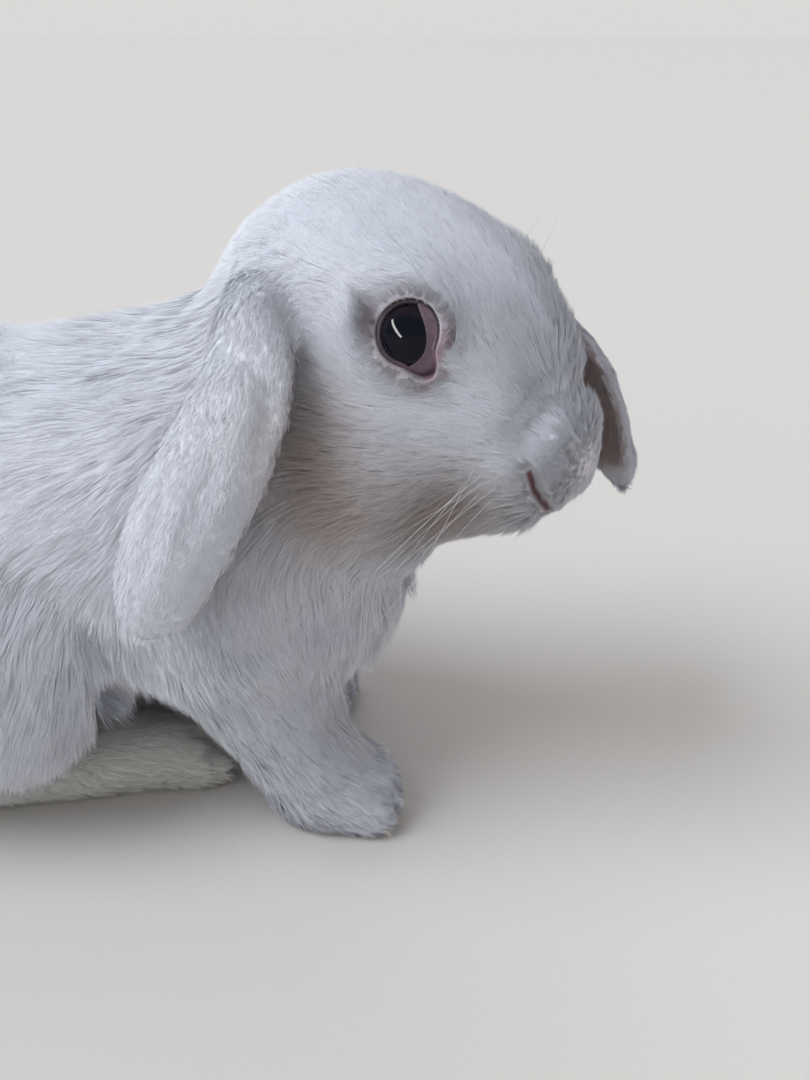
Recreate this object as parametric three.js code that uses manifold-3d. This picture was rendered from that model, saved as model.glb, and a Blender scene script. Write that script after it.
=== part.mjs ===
// A lop-eared rabbit at life size, sitting up on all four feet with its head turned to its right.
// Millimetres, +X towards the rabbit's front, +Y to its left, +Z up, feet on z = 0.
// The body is one smooth field of rounded masses, out to the tips of the coat. Each named part is
// wrapped onto that field round its own bone line, and parted from its neighbours by a thin cut.
import * as THREE from "three";
import { mergeVertices } from "three/addons/utils/BufferGeometryUtils.js";
import Module from "manifold-3d";

const wasm = await Module();
wasm.setup();

// ---- Driving dimensions -------------------------------------------------------------------------

const GAP = 0.3; // left between neighbouring parts
const TRIM = 0.06; // the most a surface moves where slivers left by the cuts are merged
const CUT_MARGIN = 14; // how far a part is wrapped past the cut that ends it
const RIGHT = -1;
const LEFT = 1;

const BACK_BEND = 0.0007; // sideways bend of the spine, per mm, behind the shoulders
const BEND_START = 40; // x where the spine starts to bend

const HEAD = { centre: [88, 0, 116], yaw: -21, pitch: 21, roll: 0 };
const EYE = { forward: 12, aside: 19, up: 16, radius: 9 };

const NAPE_CUT = { point: [68, 0, 106], normal: [0.86, 0, 0.51] };
const NECK_CUT = { point: [60, 0, 88], normal: [0.79, 0, 0.615] };
const WRIST_HEIGHT = 17;
const HAUNCH_CUT = { centre: [-35, 44], radii: [65, 52], inner: 22, outer: 80 };


const TOES = 4;
const TOE = { radii: [7.5, 3.8, 6.6], spread: 6, blend: 3 };
const HIND_TOE = { radii: [8.5, 3.7, 6.8], spread: 5.6, blend: 3 };
const TOE_FLAT = 1.2; // how far the toes' round undersides reach below the floor, cut away there

const EAR = { root: 8, breadth: 13, rootThick: 7.5, thick: 3, cup: 4.5 }; // half-sizes

// How finely each part is wrapped: rings along its bone, and sides round it.
const MESH = {
  head: [22, 26],
  trunk: [22, 26],
  neck: [14, 24],
  region: [12, 16],
  foreLeg: [13, 16],
  forePaw: [14, 18],
  hindLeg: [16, 20],
  hindFoot: [16, 18],
  ear: [15, 12],
  tail: [8, 12],
  eye: [8, 12],
  disc: 28,
};

const COAT = { white: 0xe9e9ec, sole: 0xe4ddd0, ear: 0xe6e3e6, eye: 0x0b080c };

// ---- Fields: distances to rounded masses --------------------------------------------------------

const vec = (p) => new THREE.Vector3(...p);
const turn = ([x, y, z]) =>
  new THREE.Matrix4().makeRotationFromEuler(
    new THREE.Euler(...[x, y, z].map(THREE.MathUtils.degToRad), "ZYX"),
  );

// Sideways place of the spine at x.
const spineY = (x) => -BACK_BEND * Math.max(BEND_START - x, 0) ** 2;

// An ellipsoid mass: its centre, half-sizes, the width of its blend and its own turn in degrees.
function mass(centre, radii, blend, angles = [0, 0, 0], frame = new THREE.Matrix4()) {
  const place = frame
    .clone()
    .multiply(new THREE.Matrix4().makeTranslation(...centre))
    .multiply(turn(angles))
    .invert();
  const [rx, ry, rz] = radii;
  const local = new THREE.Vector3();
  const distance = (p) => {
    local.copy(p).applyMatrix4(place);
    const k0 = Math.hypot(local.x / rx, local.y / ry, local.z / rz);
    const k1 = Math.hypot(local.x / rx ** 2, local.y / ry ** 2, local.z / rz ** 2);
    return k1 < 1e-9 ? -Math.min(rx, ry, rz) : (k0 * (k0 - 1)) / k1;
  };
  return { distance, blend };
}

// A tapered limb mass from a to b.
function limb(a, b, radiusA, radiusB, blend) {
  const from = vec(a);
  const along = vec(b).sub(from);
  const local = new THREE.Vector3();
  const distance = (p) => {
    local.copy(p).sub(from);
    const t = THREE.MathUtils.clamp(local.dot(along) / along.lengthSq(), 0, 1);
    return local.addScaledVector(along, -t).length() - THREE.MathUtils.lerp(radiusA, radiusB, t);
  };
  return { distance, blend };
}

// The masses melted into one field, negative inside.
const melt = (masses) => (p) => {
  let d = masses[0].distance(p);
  for (const m of masses.slice(1)) {
    const e = m.distance(p);
    const h = Math.max(m.blend - Math.abs(d - e), 0) / m.blend;
    d = Math.min(d, e) - (h * h * m.blend) / 4;
  }
  return d;
};

const grown = (field, by) => (p) => field(p) - by;
const within = (field, limit) => (p) => Math.max(field(p), limit(p) - CUT_MARGIN);
const above = (height) => (p) => height - p.z;

// ---- Wrapping a field, and solids ---------------------------------------------------------------

const STEP_SHARE = 0.7; // of the field's distance, taken at each step outwards
const LEAST_STEP = 0.4;
const REACH = 200;
const HALVINGS = 22;

// How far out along a direction the field turns from inside to outside.
function surfaceAt(field, origin, direction) {
  const p = new THREE.Vector3();
  const at = (t) => field(p.copy(origin).addScaledVector(direction, t));
  let inside = 0;
  let outside = LEAST_STEP;
  for (let d = at(outside); d < 0 && outside < REACH; d = at(outside)) {
    inside = outside;
    outside += Math.max(-d * STEP_SHARE, LEAST_STEP);
  }
  for (let i = 0; i < HALVINGS; i++) {
    const middle = (inside + outside) / 2;
    if (at(middle) < 0) inside = middle;
    else outside = middle;
  }
  return inside;
}

// A closed skin on the field round the bone from a to b. Its poles lie on that line.
function wrap(field, [a, b], [rings, sides]) {
  const [from, to] = [vec(a), vec(b)];
  const axis = to.clone().sub(from).normalize();
  const upright = new THREE.Quaternion().setFromUnitVectors(new THREE.Vector3(0, 1, 0), axis);
  const geometry = new THREE.SphereGeometry(1, sides, rings);
  const position = geometry.getAttribute("position");
  const direction = new THREE.Vector3();
  const origin = new THREE.Vector3();
  for (let i = 0; i < position.count; i++) {
    direction.fromBufferAttribute(position, i).multiplyScalar(1e6).round().normalize();
    origin.lerpVectors(from, to, (direction.y + 1) / 2);
    direction.applyQuaternion(upright);
    origin.addScaledVector(direction, surfaceAt(field, origin, direction));
    position.setXYZ(i, ...origin);
  }
  return solid(geometry);
}

// A closed three.js geometry as a manifold-3d solid.
function solid(geometry) {
  geometry.deleteAttribute("normal");
  geometry.deleteAttribute("uv");
  const merged = mergeVertices(geometry, 1e-3);
  const triVerts = new Uint32Array(merged.index.array);
  const whole = [];
  for (let i = 0; i < triVerts.length; i += 3) {
    const [a, b, c] = triVerts.subarray(i, i + 3);
    if (a !== b && b !== c && c !== a) whole.push(a, b, c);
  }
  return new wasm.Manifold(
    new wasm.Mesh({
      numProp: 3,
      vertProperties: merged.getAttribute("position").array,
      triVerts: new Uint32Array(whole),
    }),
  );
}

// The largest of a solid's separate bodies.
const largest = (s) => s.decompose().reduce((a, b) => (b.volume() > a.volume() ? b : a));

// Everything on the normal's side of a plane, as a large box.
function half({ point, normal }, shift = 0) {
  const size = 600;
  const n = vec(normal).normalize();
  const box = new THREE.BoxGeometry(size, size, size);
  const middle = vec(point).addScaledVector(n, size / 2 + shift);
  box.applyQuaternion(new THREE.Quaternion().setFromUnitVectors(new THREE.Vector3(0, 0, 1), n));
  box.translate(...middle);
  return solid(box);
}

const beyond = ({ point, normal }) => {
  const n = vec(normal).normalize();
  const at = vec(point).dot(n);
  return (p) => at - p.dot(n);
};
const flipped = ({ point, normal }) => ({ point, normal: normal.map((x) => -x) });

// An elliptical cut across the body from y = inner outwards, as a solid and as a field.
function disc({ centre, radii, inner, outer }, side, by = 0) {
  const [[x, z], [rx, rz]] = [centre, radii];
  const deep = outer - inner + by;
  const geometry = new THREE.CylinderGeometry(1, 1, deep, MESH.disc);
  geometry.scale(rx + by, 1, rz + by);
  geometry.translate(x, spineY(x) + side * (outer - deep / 2), z);
  return solid(geometry);
}
const discLimit = ({ centre, radii }) => (p) =>
  (Math.hypot((p.x - centre[0]) / radii[0], (p.z - centre[1]) / radii[1]) - 1) * radii[1];

const FLOOR = { point: [0, 0, 0], normal: [0, 0, 1] };
const overFloor = half(FLOOR);

// ---- The body's masses --------------------------------------------------------------------------

const onSpine = (x, aside, z) => [x, spineY(x) + aside, z];

const trunkMasses = [
  mass(onSpine(6, 0, 71), [70, 42, 45], 1),
  mass(onSpine(-46, 0, 62), [66, 51, 51], 22),
  mass(onSpine(-86, 0, 57), [50, 50, 50], 22),
  mass(onSpine(34, 0, 88.5), [34, 27, 31.5], 20),
  mass(onSpine(62, 0, 60), [30, 32, 34], 20),
  ...[RIGHT, LEFT].map((side) => mass(onSpine(36, side * 22, 76), [32, 20, 36], 12)),
];

const neckMasses = [
  limb([44, 0, 87], [72, 0, 110], 32, 30, 18),
  limb([62, 0, 72], [84, -3, 92], 26, 22, 18),
];

// The head's own frame: x' along the face towards the nose, y' to its left, z' up.
const headFrame = new THREE.Matrix4()
  .makeTranslation(...HEAD.centre)
  .multiply(turn([HEAD.roll, HEAD.pitch, HEAD.yaw]));
const onHead = (x, y, z) => vec([x, y, z]).applyMatrix4(headFrame).toArray();
const headMass = (centre, radii, blend, angles) => mass(centre, radii, blend, angles, headFrame);

const headMasses = [
  headMass([-8, 0, 4], [34, 29, 31.5], 16),
  headMass([14, 0, 7], [30, 21, 27], 14),
  headMass([31, 0, -2], [21, 14.5, 17], 10),
  ...[RIGHT, LEFT].flatMap((side) => [
    headMass([5, side * 15, -16], [27, 17, 24], 12),
    headMass([9, side * 17, 19], [15, 8, 9], 8),
    headMass([40, side * 6.5, -5], [12, 9, 9.5], 6),
  ]),
  headMass([36, 0, -18], [11, 9, 7], 6),
  headMass([22, 0, -22], [16, 15, 12], 8),
];

const bodyField = melt([...trunkMasses, ...neckMasses, ...headMasses]);

// ---- Legs ---------------------------------------------------------------------------------------

const toeMasses = (tip, heading, { radii, spread, blend }) =>
  Array.from({ length: TOES }, (_, i) => {
    const across = (i - (TOES - 1) / 2) * spread;
    const back = 0.9 * Math.abs(i - 1.3) ** 1.6;
    const a = THREE.MathUtils.degToRad(heading);
    const x = tip[0] - back * Math.cos(a) - across * Math.sin(a);
    const y = tip[1] - back * Math.sin(a) + across * Math.cos(a);
    return mass([x, y, radii[2] - TOE_FLAT], radii, blend, [0, 0, heading]);
  });

// A front leg: where its paw stands, where its elbow is over the ground, and which way it points.
function foreleg(paw, [elbowX, elbowY], heading) {
  const [x, y] = paw;
  const elbow = [elbowX, elbowY, 52];
  const wrist = [x - 7, y, 15];
  return {
    reach: [
      mass([elbowX + 2, elbowY * 1.3, 48], [27, 20, 34], 10),
      limb(elbow, wrist, 23, 18, 10),
    ],
    shaft: [
      limb(elbow, wrist, 17, 14, 10),
      mass([x - 4, y, 9], [12.5, 12.5, 11], 8, [0, 0, heading]),
      mass([x + 1, y, 7.5], [14, 12, 9.5], 8, [0, 0, heading]),
    ],
    toes: toeMasses([x + 9, y], heading, TOE),
    legBone: [[elbowX, elbowY, 62], wrist],
    pawBone: [
      [x - 8, y, 7],
      [x + 5, y, 6],
    ],
  };
}

const forelegs = {
  right: foreleg([77, -19], [50, -27], 4),
  left: foreleg([53, 30], [44, 29], 2),
};

// A hind foot from heel to toe tip, flat on the ground, with the haunch folded over it.
function hindleg(side, heel, toe) {
  const heading = THREE.MathUtils.radToDeg(Math.atan2(toe[1] - heel[1], toe[0] - heel[0]));
  const at = (share, z) => [
    THREE.MathUtils.lerp(heel[0], toe[0], share),
    THREE.MathUtils.lerp(heel[1], toe[1], share),
    z,
  ];
  return {
    haunch: [
      mass(onSpine(-46, side * 43, 52), [44, 21, 44], 16, [0, 8, 0]),
      mass(onSpine(-2, side * 41, 42), [29, 17, 27], 16),
      mass(at(0.12, 20), [20, 13, 18], 10, [0, 0, heading]),
    ],
    foot: [
      limb(at(0.16, 8.5), at(0.84, 7), 12.5, 11, 4),
      mass(at(0.5, 9), [36, 12, 10.5], 6, [0, 0, heading]),
    ],
    toes: toeMasses(at(0.92, 0), heading, HIND_TOE),
    legBone: [onSpine(-58, side * 44, 48), onSpine(-4, side * 42, 42)],
    footBone: [at(0.2, 7), at(0.85, 6)],
  };
}

const hindlegs = {
  right: hindleg(RIGHT, [-36, -37], [44, -8]),
  left: hindleg(LEFT, [-56, 40], [22, 40]),
};

// ---- Ears and tail ------------------------------------------------------------------------------

// A hanging ear: a leaf along a curve, round at its root and thin and cupped towards its tip.
// face is the way the ear's outer, furry side looks.
function earSolid({ curve, face, width, thick, cup }) {
  const line = new THREE.CatmullRomCurve3(curve.map(vec), false, "centripetal");
  const [stations, sides] = MESH.ear;
  const geometry = new THREE.SphereGeometry(1, sides, stations);
  const position = geometry.getAttribute("position");
  const v = new THREE.Vector3();
  const [from, to] = face.map(vec);
  for (let i = 0; i < position.count; i++) {
    v.fromBufferAttribute(position, i).multiplyScalar(1e6).round().divideScalar(1e6);
    const t = THREE.MathUtils.clamp(Math.acos(THREE.MathUtils.clamp(-v.y, -1, 1)) / Math.PI, 0, 1);
    const along = line.getTangent(t);
    const out = from.clone().lerp(to, t).addScaledVector(along, -along.dot(from.clone().lerp(to, t)));
    out.normalize();
    const across = along.clone().cross(out);
    const ring = Math.hypot(v.x, v.z);
    const side = ring < 1e-6 ? 0 : v.x / ring;
    const depth = ring < 1e-6 ? 0 : v.z / ring;
    const w = width(t) * side;
    const d = thick(t) * depth - cup(t) * side * side;
    const p = line.getPoint(t).addScaledVector(across, w).addScaledVector(out, d);
    position.setXYZ(i, ...p);
  }
  return solid(geometry);
}

// 1 along the ear, and round towards 0 over the last or the first share of its length.
const endTaper = (t, share) => Math.sqrt(Math.max(1 - (Math.max(t - (1 - share), 0) / share) ** 2, 0));
const startTaper = (t, share) => endTaper(1 - t, share);
const widening = (a, b, t, from, to) =>
  THREE.MathUtils.lerp(a, b, THREE.MathUtils.smoothstep(t, from, to));
const earWidth = (tip) => (t) =>
  widening(EAR.root, EAR.breadth, t, 0.1, 0.6) * endTaper(t, tip) * startTaper(t, 0.1);
const earForm = {
  width: earWidth(0.34),
  thick: (t) => widening(EAR.rootThick, EAR.thick, t, 0.08, 0.4) * endTaper(t, 0.1) * startTaper(t, 0.1),
  cup: (t) => EAR.cup * THREE.MathUtils.smoothstep(t, 0.15, 0.5) * endTaper(t, 0.5),
};

const ears = {
  right: earSolid({
    ...earForm,
    curve: [
      onHead(-18, -16, 8),
      onHead(-19, -29, 10),
      [66, -41, 120],
      [59, -48, 101],
      [51, -52, 83],
      [45, -54, 64.5],
    ],
    face: [
      [-0.2, -0.6, 0.8],
      [0.1, -1, 0.1],
    ],
  }),
  left: earSolid({
    ...earForm,
    width: earWidth(0.14),
    curve: [
      onHead(-16, 15, 10),
      onHead(-13, 29, 9),
      [101.8, 39.5, 124.2],
      [118, 35, 117.7],
      [133, 28, 104.7],
      [142, 22.5, 75.5],
    ],
    face: [
      [0.2, 0.6, 0.8],
      [0.9, 0.42, 0.15],
    ],
  }),
};

const tailMasses = [
  mass(onSpine(-138, 0, 40), [13, 12, 20], 6, [0, -14, 0]),
  mass(onSpine(-134, 0, 30), [14, 13, 15], 8),
];

// ---- Parts --------------------------------------------------------------------------------------

const group = new THREE.Group();

function addPart(name, made, colour, roughness = 0.9) {
  const { vertProperties, triVerts } = largest(made).simplify(TRIM).getMesh();
  const geometry = new THREE.BufferGeometry();
  geometry.setAttribute("position", new THREE.BufferAttribute(vertProperties, 3));
  geometry.setIndex(new THREE.BufferAttribute(triVerts, 1));
  geometry.computeVertexNormals();
  const material = new THREE.MeshStandardMaterial({ color: colour, roughness, metalness: 0 });
  const mesh = new THREE.Mesh(geometry, material);
  mesh.name = name;
  group.add(mesh);
}

const sides = [
  ["right", RIGHT],
  ["left", LEFT],
];

const headBone = [onHead(-8, 0, 2), onHead(26, 0, -4)];
const trunkBone = [onSpine(-80, 0, 60), [34, 0, 72]];
const neckBone = [
  [62, 0, 94],
  [70, 0, 90],
];
const tailBone = [onSpine(-138, 0, 32), onSpine(-139, 0, 44)];

const headGrown = wrap(grown(bodyField, GAP), headBone, MESH.head);
const trunkGrown = wrap(grown(bodyField, GAP), trunkBone, MESH.trunk);

const eyeSphere = (side, radius) => {
  const [rings, around] = MESH.eye;
  const ball = new THREE.SphereGeometry(radius, around, rings);
  ball.translate(...onHead(EYE.forward, side * EYE.aside, EYE.up));
  return solid(ball);
};

let head = wrap(within(bodyField, beyond(NAPE_CUT)), headBone, MESH.head);
head = head.intersect(half(NAPE_CUT, GAP / 2));
let trunk = wrap(within(bodyField, beyond(flipped(NECK_CUT))), trunkBone, MESH.trunk);
trunk = trunk.intersect(half(flipped(NECK_CUT), GAP / 2)).intersect(overFloor);
const neckField = within(within(bodyField, beyond(NECK_CUT)), beyond(flipped(NAPE_CUT)));
let neck = wrap(neckField, neckBone, MESH.neck);
neck = neck.intersect(half(NECK_CUT, GAP / 2)).intersect(half(flipped(NAPE_CUT), GAP / 2));

for (const [name, side] of sides) {
  addPart(`eye_${name}`, eyeSphere(side, EYE.radius), COAT.eye, 0.08);
  head = head.subtract(eyeSphere(side, EYE.radius + GAP));
}

const overWrist = half({ point: [0, 0, WRIST_HEIGHT], normal: [0, 0, 1] }, GAP / 2);
const underWrist = half({ point: [0, 0, WRIST_HEIGHT], normal: [0, 0, -1] }, GAP / 2);
const shoulders = {};
for (const [name] of sides) {
  const { reach, shaft, toes, legBone, pawBone } = forelegs[name];
  const legField = melt([...trunkMasses, ...neckMasses, ...headMasses, ...shaft]);
  const leg = wrap(within(legField, melt(reach)), legBone, MESH.foreLeg);
  const paw = wrap(within(melt([...shaft, ...toes]), above(0)), pawBone, MESH.forePaw);
  const area = wrap(melt(reach), legBone, MESH.region);
  addPart(`fore_leg_${name}`, leg.intersect(area).intersect(overWrist), COAT.white);
  addPart(`fore_paw_${name}`, paw.intersect(overFloor).intersect(underWrist), COAT.white);
  shoulders[name] = wrap(grown(melt(reach), GAP), legBone, MESH.region);
  trunk = trunk.subtract(shoulders[name]);
  neck = neck.subtract(shoulders[name]);
}

for (const [name, side] of sides) {
  const { haunch, foot, toes, legBone, footBone } = hindlegs[name];
  const footField = melt([...foot, ...toes]);
  const sole = wrap(within(footField, above(0)), footBone, MESH.hindFoot);
  const soleGrown = wrap(within(grown(footField, GAP), above(-1)), footBone, MESH.hindFoot);
  const legField = within(melt([...trunkMasses, ...haunch]), discLimit(HAUNCH_CUT));
  const leg = wrap(legField, legBone, MESH.hindLeg).intersect(disc(HAUNCH_CUT, side));
  addPart(`hind_foot_${name}`, sole.intersect(overFloor), COAT.sole);
  addPart(
    `hind_leg_${name}`,
    leg.intersect(overFloor).subtract(soleGrown).subtract(shoulders[name]),
    COAT.white,
  );
  trunk = trunk.subtract(disc(HAUNCH_CUT, side, GAP)).subtract(soleGrown);
}

addPart("tail", wrap(melt(tailMasses), tailBone, MESH.tail).subtract(trunkGrown), COAT.white);
for (const [name] of sides)
  addPart(`ear_${name}`, ears[name].subtract(headGrown).subtract(trunkGrown), COAT.ear);

addPart("head", head, COAT.white);
addPart("neck", neck, COAT.white);
addPart("trunk", trunk, COAT.white);

// The origin is the middle of the figure's footprint, on the floor.
const footprint = new THREE.Box3().setFromObject(group).getCenter(new THREE.Vector3());
group.position.set(-footprint.x, -footprint.y, 0);

export default group;
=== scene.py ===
"""A lop rabbit in life size: one skin, a coat of mesh tufts, eyes, lids, whiskers and claws."""

import math

import bmesh
import bpy
import numpy as np
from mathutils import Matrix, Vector
from mathutils.bvhtree import BVHTree
from mathutils.kdtree import KDTree


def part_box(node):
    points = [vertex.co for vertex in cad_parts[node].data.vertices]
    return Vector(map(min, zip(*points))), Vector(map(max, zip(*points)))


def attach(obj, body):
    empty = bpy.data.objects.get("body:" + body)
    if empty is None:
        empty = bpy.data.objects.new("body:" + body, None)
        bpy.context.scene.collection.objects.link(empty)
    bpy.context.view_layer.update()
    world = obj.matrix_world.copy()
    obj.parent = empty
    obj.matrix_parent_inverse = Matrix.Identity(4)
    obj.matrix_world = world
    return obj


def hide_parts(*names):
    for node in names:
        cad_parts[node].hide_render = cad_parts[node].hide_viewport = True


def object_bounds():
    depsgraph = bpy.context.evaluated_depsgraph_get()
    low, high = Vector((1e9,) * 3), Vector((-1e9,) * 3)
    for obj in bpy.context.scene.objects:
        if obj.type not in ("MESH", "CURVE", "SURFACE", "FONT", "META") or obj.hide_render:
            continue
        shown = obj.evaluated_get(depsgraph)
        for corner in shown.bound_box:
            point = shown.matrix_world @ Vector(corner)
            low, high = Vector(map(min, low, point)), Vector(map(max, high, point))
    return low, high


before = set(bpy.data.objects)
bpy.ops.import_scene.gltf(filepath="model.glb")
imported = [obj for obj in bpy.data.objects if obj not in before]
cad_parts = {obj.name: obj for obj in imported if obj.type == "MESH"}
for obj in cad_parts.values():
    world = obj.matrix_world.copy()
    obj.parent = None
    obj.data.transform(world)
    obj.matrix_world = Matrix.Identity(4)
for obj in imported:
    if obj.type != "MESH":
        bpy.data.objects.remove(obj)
CAD_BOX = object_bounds()

bl_info = {
    "name": "Lop rabbit",
    "version": (1, 0, 0),
    "blender": (4, 5, 0),
    "location": "View3D > Sidebar > Lop rabbit",
    "description": "Skin, coat, eyes, whiskers, claws and stage of a white lop rabbit",
    "category": "Object",
}

MM = 0.001
UP = np.array((0.0, 0.0, 1.0))
SIDES = ("right", "left")
SIGNS = (-1, 1)

# ---------------------------------------------------------------- places on the body


def unit(values):
    """Each row, or the one vector, at length 1."""
    return values / np.maximum(np.linalg.norm(values, axis=-1, keepdims=True), 1e-12)


def corners(node):
    """A solid's lowest and highest corner."""
    return tuple(np.array(corner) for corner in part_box(node))


def middle(node):
    low, high = corners(node)
    return (low + high) / 2


def in_box(node, *shares):
    """A place in a solid's box, each share from 0 at the low side to 1 at the high side."""
    low, high = corners(node)
    return low + (high - low) * np.array(shares)


def solid_points(node):
    """A solid's own corner points."""
    return read(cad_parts[node].data.vertices, "co", 3)


def read(items, name, width=1, kind=np.float32):
    """One property of many mesh items, as an array."""
    found = np.empty(len(items) * width, kind)
    items.foreach_get(name, found)
    found = found.astype(float) if kind is np.float32 else found
    return found.reshape(-1, width) if width > 1 else found


HEAD_PITCH = math.radians(21.0)
EYE_AT = (12.0, 19.0, 16.0)  # forward, aside and up from the head's middle, in mm
EYE_RADIUS = 9.0

LEFTWARD = unit(middle("eye_left") - middle("eye_right"))
LEVEL = np.cross(LEFTWARD, UP)
FORWARD = LEVEL * math.cos(HEAD_PITCH) - UP * math.sin(HEAD_PITCH)
CROWN = np.cross(FORWARD, LEFTWARD)
HEAD_AXES = np.array((FORWARD, LEFTWARD, CROWN))
HEAD = (middle("eye_left") + middle("eye_right")) / 2 - MM * (EYE_AT[0] * FORWARD + EYE_AT[2] * CROWN)


def on_head(forward, aside, up):
    """A place in the head's own axes, in mm, as a point of the frame."""
    return HEAD + MM * np.array((forward, aside, up)) @ HEAD_AXES


def near(points, centre, radius):
    """1 at the centre, falling softly to 0 past radius, which is in mm."""
    return np.exp(-np.sum((points - centre) ** 2, axis=1) / (radius * MM) ** 2)


def ramp(values, start, end):
    """0 before start, 1 past end, and a smooth rise between."""
    t = np.clip((values - start) / (end - start), 0, 1)
    return t * t * (3 - 2 * t)


def off_path(points, path):
    """Each point's distance in mm from a bent line, and how far along it that is, from 0 to 1."""
    best, along = np.full(len(points), 1e9), np.zeros(len(points))
    for i, (a, b) in enumerate(zip(path[:-1], path[1:])):
        share = np.clip((points - a) @ (b - a) / ((b - a) @ (b - a)), 0, 1)
        gap = np.linalg.norm(points - (a + share[:, None] * (b - a)), axis=1) / MM
        closer = gap < best
        best[closer] = gap[closer]
        along[closer] = ((i + share) / (len(path) - 1))[closer]
    return best, along


# ---------------------------------------------------------------- meshes


def make_object(name, mesh, material=None):
    """A new object in the scene, smooth shaded."""
    made = bpy.data.objects.new(name, mesh)
    bpy.context.scene.collection.objects.link(made)
    mesh.polygons.foreach_set("use_smooth", np.ones(len(mesh.polygons), bool))
    if material:
        mesh.materials.append(material)
    return made


def triangle_mesh(name, points, triangles):
    """A mesh from arrays of points and of triangles."""
    mesh = bpy.data.meshes.new(name)
    mesh.vertices.add(len(points))
    mesh.vertices.foreach_set("co", np.asarray(points, np.float32).ravel())
    mesh.loops.add(triangles.size)
    mesh.loops.foreach_set("vertex_index", np.asarray(triangles, np.int32).ravel())
    mesh.polygons.add(len(triangles))
    mesh.polygons.foreach_set("loop_start", np.arange(0, triangles.size, 3, dtype=np.int32))
    mesh.update(calc_edges=True)
    return mesh


def paint(mesh, name, values):
    """Keeps one number for each point, for the finish to read."""
    mesh.attributes.new(name, "FLOAT", "POINT").data.foreach_set("value", np.asarray(values, np.float32))


def settle(piece, slot, *nodes):
    """Puts a finished piece on the body and hides the solids that it stands for."""
    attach(piece, "root")
    if nodes:
        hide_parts(*nodes)
    return piece


def grid_triangles(rows, columns, closed):
    """The triangles of a grid of points, each row joined round on itself if closed."""
    across = columns if closed else columns - 1
    row, column = (a.ravel() for a in np.meshgrid(np.arange(rows - 1), np.arange(across), indexing="ij"))
    a, b = row * columns + column, row * columns + (column + 1) % columns
    return np.concatenate((np.stack((a, b, b + columns), 1), np.stack((a, b + columns, a + columns), 1)))


def fan_triangles(ring):
    """The triangles that close a ring of points."""
    return np.stack((np.full(len(ring) - 2, ring[0]), ring[1:-1], ring[2:]), 1)


class Surface:
    """The skin's mesh as arrays, and the fields spread over it."""

    def __init__(self, mesh):
        self.mesh = mesh
        self.points = read(mesh.vertices, "co", 3)
        self.links = read(mesh.edges, "vertices", 2, np.int32)
        self.count = len(self.points)
        self.joins = np.bincount(self.links.ravel(), minlength=self.count).clip(1)

    def around(self, values):
        """The mean of each point's neighbours."""
        if values.ndim > 1:
            return np.stack([self.around(column) for column in values.T], 1)
        a, b = self.links.T
        total = np.bincount(a, values[b], self.count) + np.bincount(b, values[a], self.count)
        return total / self.joins

    def spread(self, values, rounds, share=0.7):
        """The values, each moved towards its neighbours' mean."""
        for _ in range(rounds):
            values = values + share * (self.around(values) - values)
        return values

    def noise(self, rng, rounds, width=1):
        """Soft noise over the skin, about -1 to 1, broader with more rounds."""
        values = self.spread(rng.normal(size=(self.count, width)), rounds)
        values = values / np.maximum(values.std(axis=0), 1e-12)
        return values if width > 1 else values[:, 0]

    def place(self, points):
        self.points = points
        self.mesh.vertices.foreach_set("co", np.asarray(points, np.float32).ravel())
        self.mesh.update()

    @property
    def normals(self):
        return read(self.mesh.vertices, "normal", 3)

    def sculpt(self, height):
        """Moves the skin outward by height, in mm."""
        self.place(self.points + unit(self.spread(self.normals, 8)) * (height * MM)[:, None])

    def soften(self, centre, radius, rounds):
        """Smooths the shape round one place, and fills its creases."""
        share = near(self.points, centre, radius)[:, None]
        points = self.points
        for _ in range(rounds):
            points = points + 0.6 * share * (self.around(points) - points)
        self.place(points)

    def relax(self, rounds):
        """Smooths the shape without shrinking it."""
        points = self.points
        for _ in range(rounds):
            points = points + 0.5 * (self.around(points) - points)
            points = points - 0.52 * (self.around(points) - points)
        self.place(points)


# ---------------------------------------------------------------- finishes


class Value:
    """A node's socket that takes part in Python sums."""

    def __init__(self, finish, socket):
        self.finish, self.socket = finish, socket

    def math(self, operation, *others):
        values = dict(enumerate((self, *others)))
        return self.finish.add("Math", {"operation": operation}, values)

    def __add__(self, other):
        return self.math("ADD", other)

    def __sub__(self, other):
        return self.math("SUBTRACT", other)

    def __rsub__(self, other):
        return self.finish.add("Math", {"operation": "SUBTRACT"}, {0: other, 1: self})

    def __mul__(self, other):
        return self.math("MULTIPLY", other)

    __radd__, __rmul__ = __add__, __mul__

    def between(self, low, high):
        """A smooth rise from 0 at low to 1 at high."""
        sockets = {"Value": self, "From Min": low, "From Max": high}
        return self.finish.add("MapRange", {"interpolation_type": "SMOOTHSTEP"}, sockets)


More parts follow.
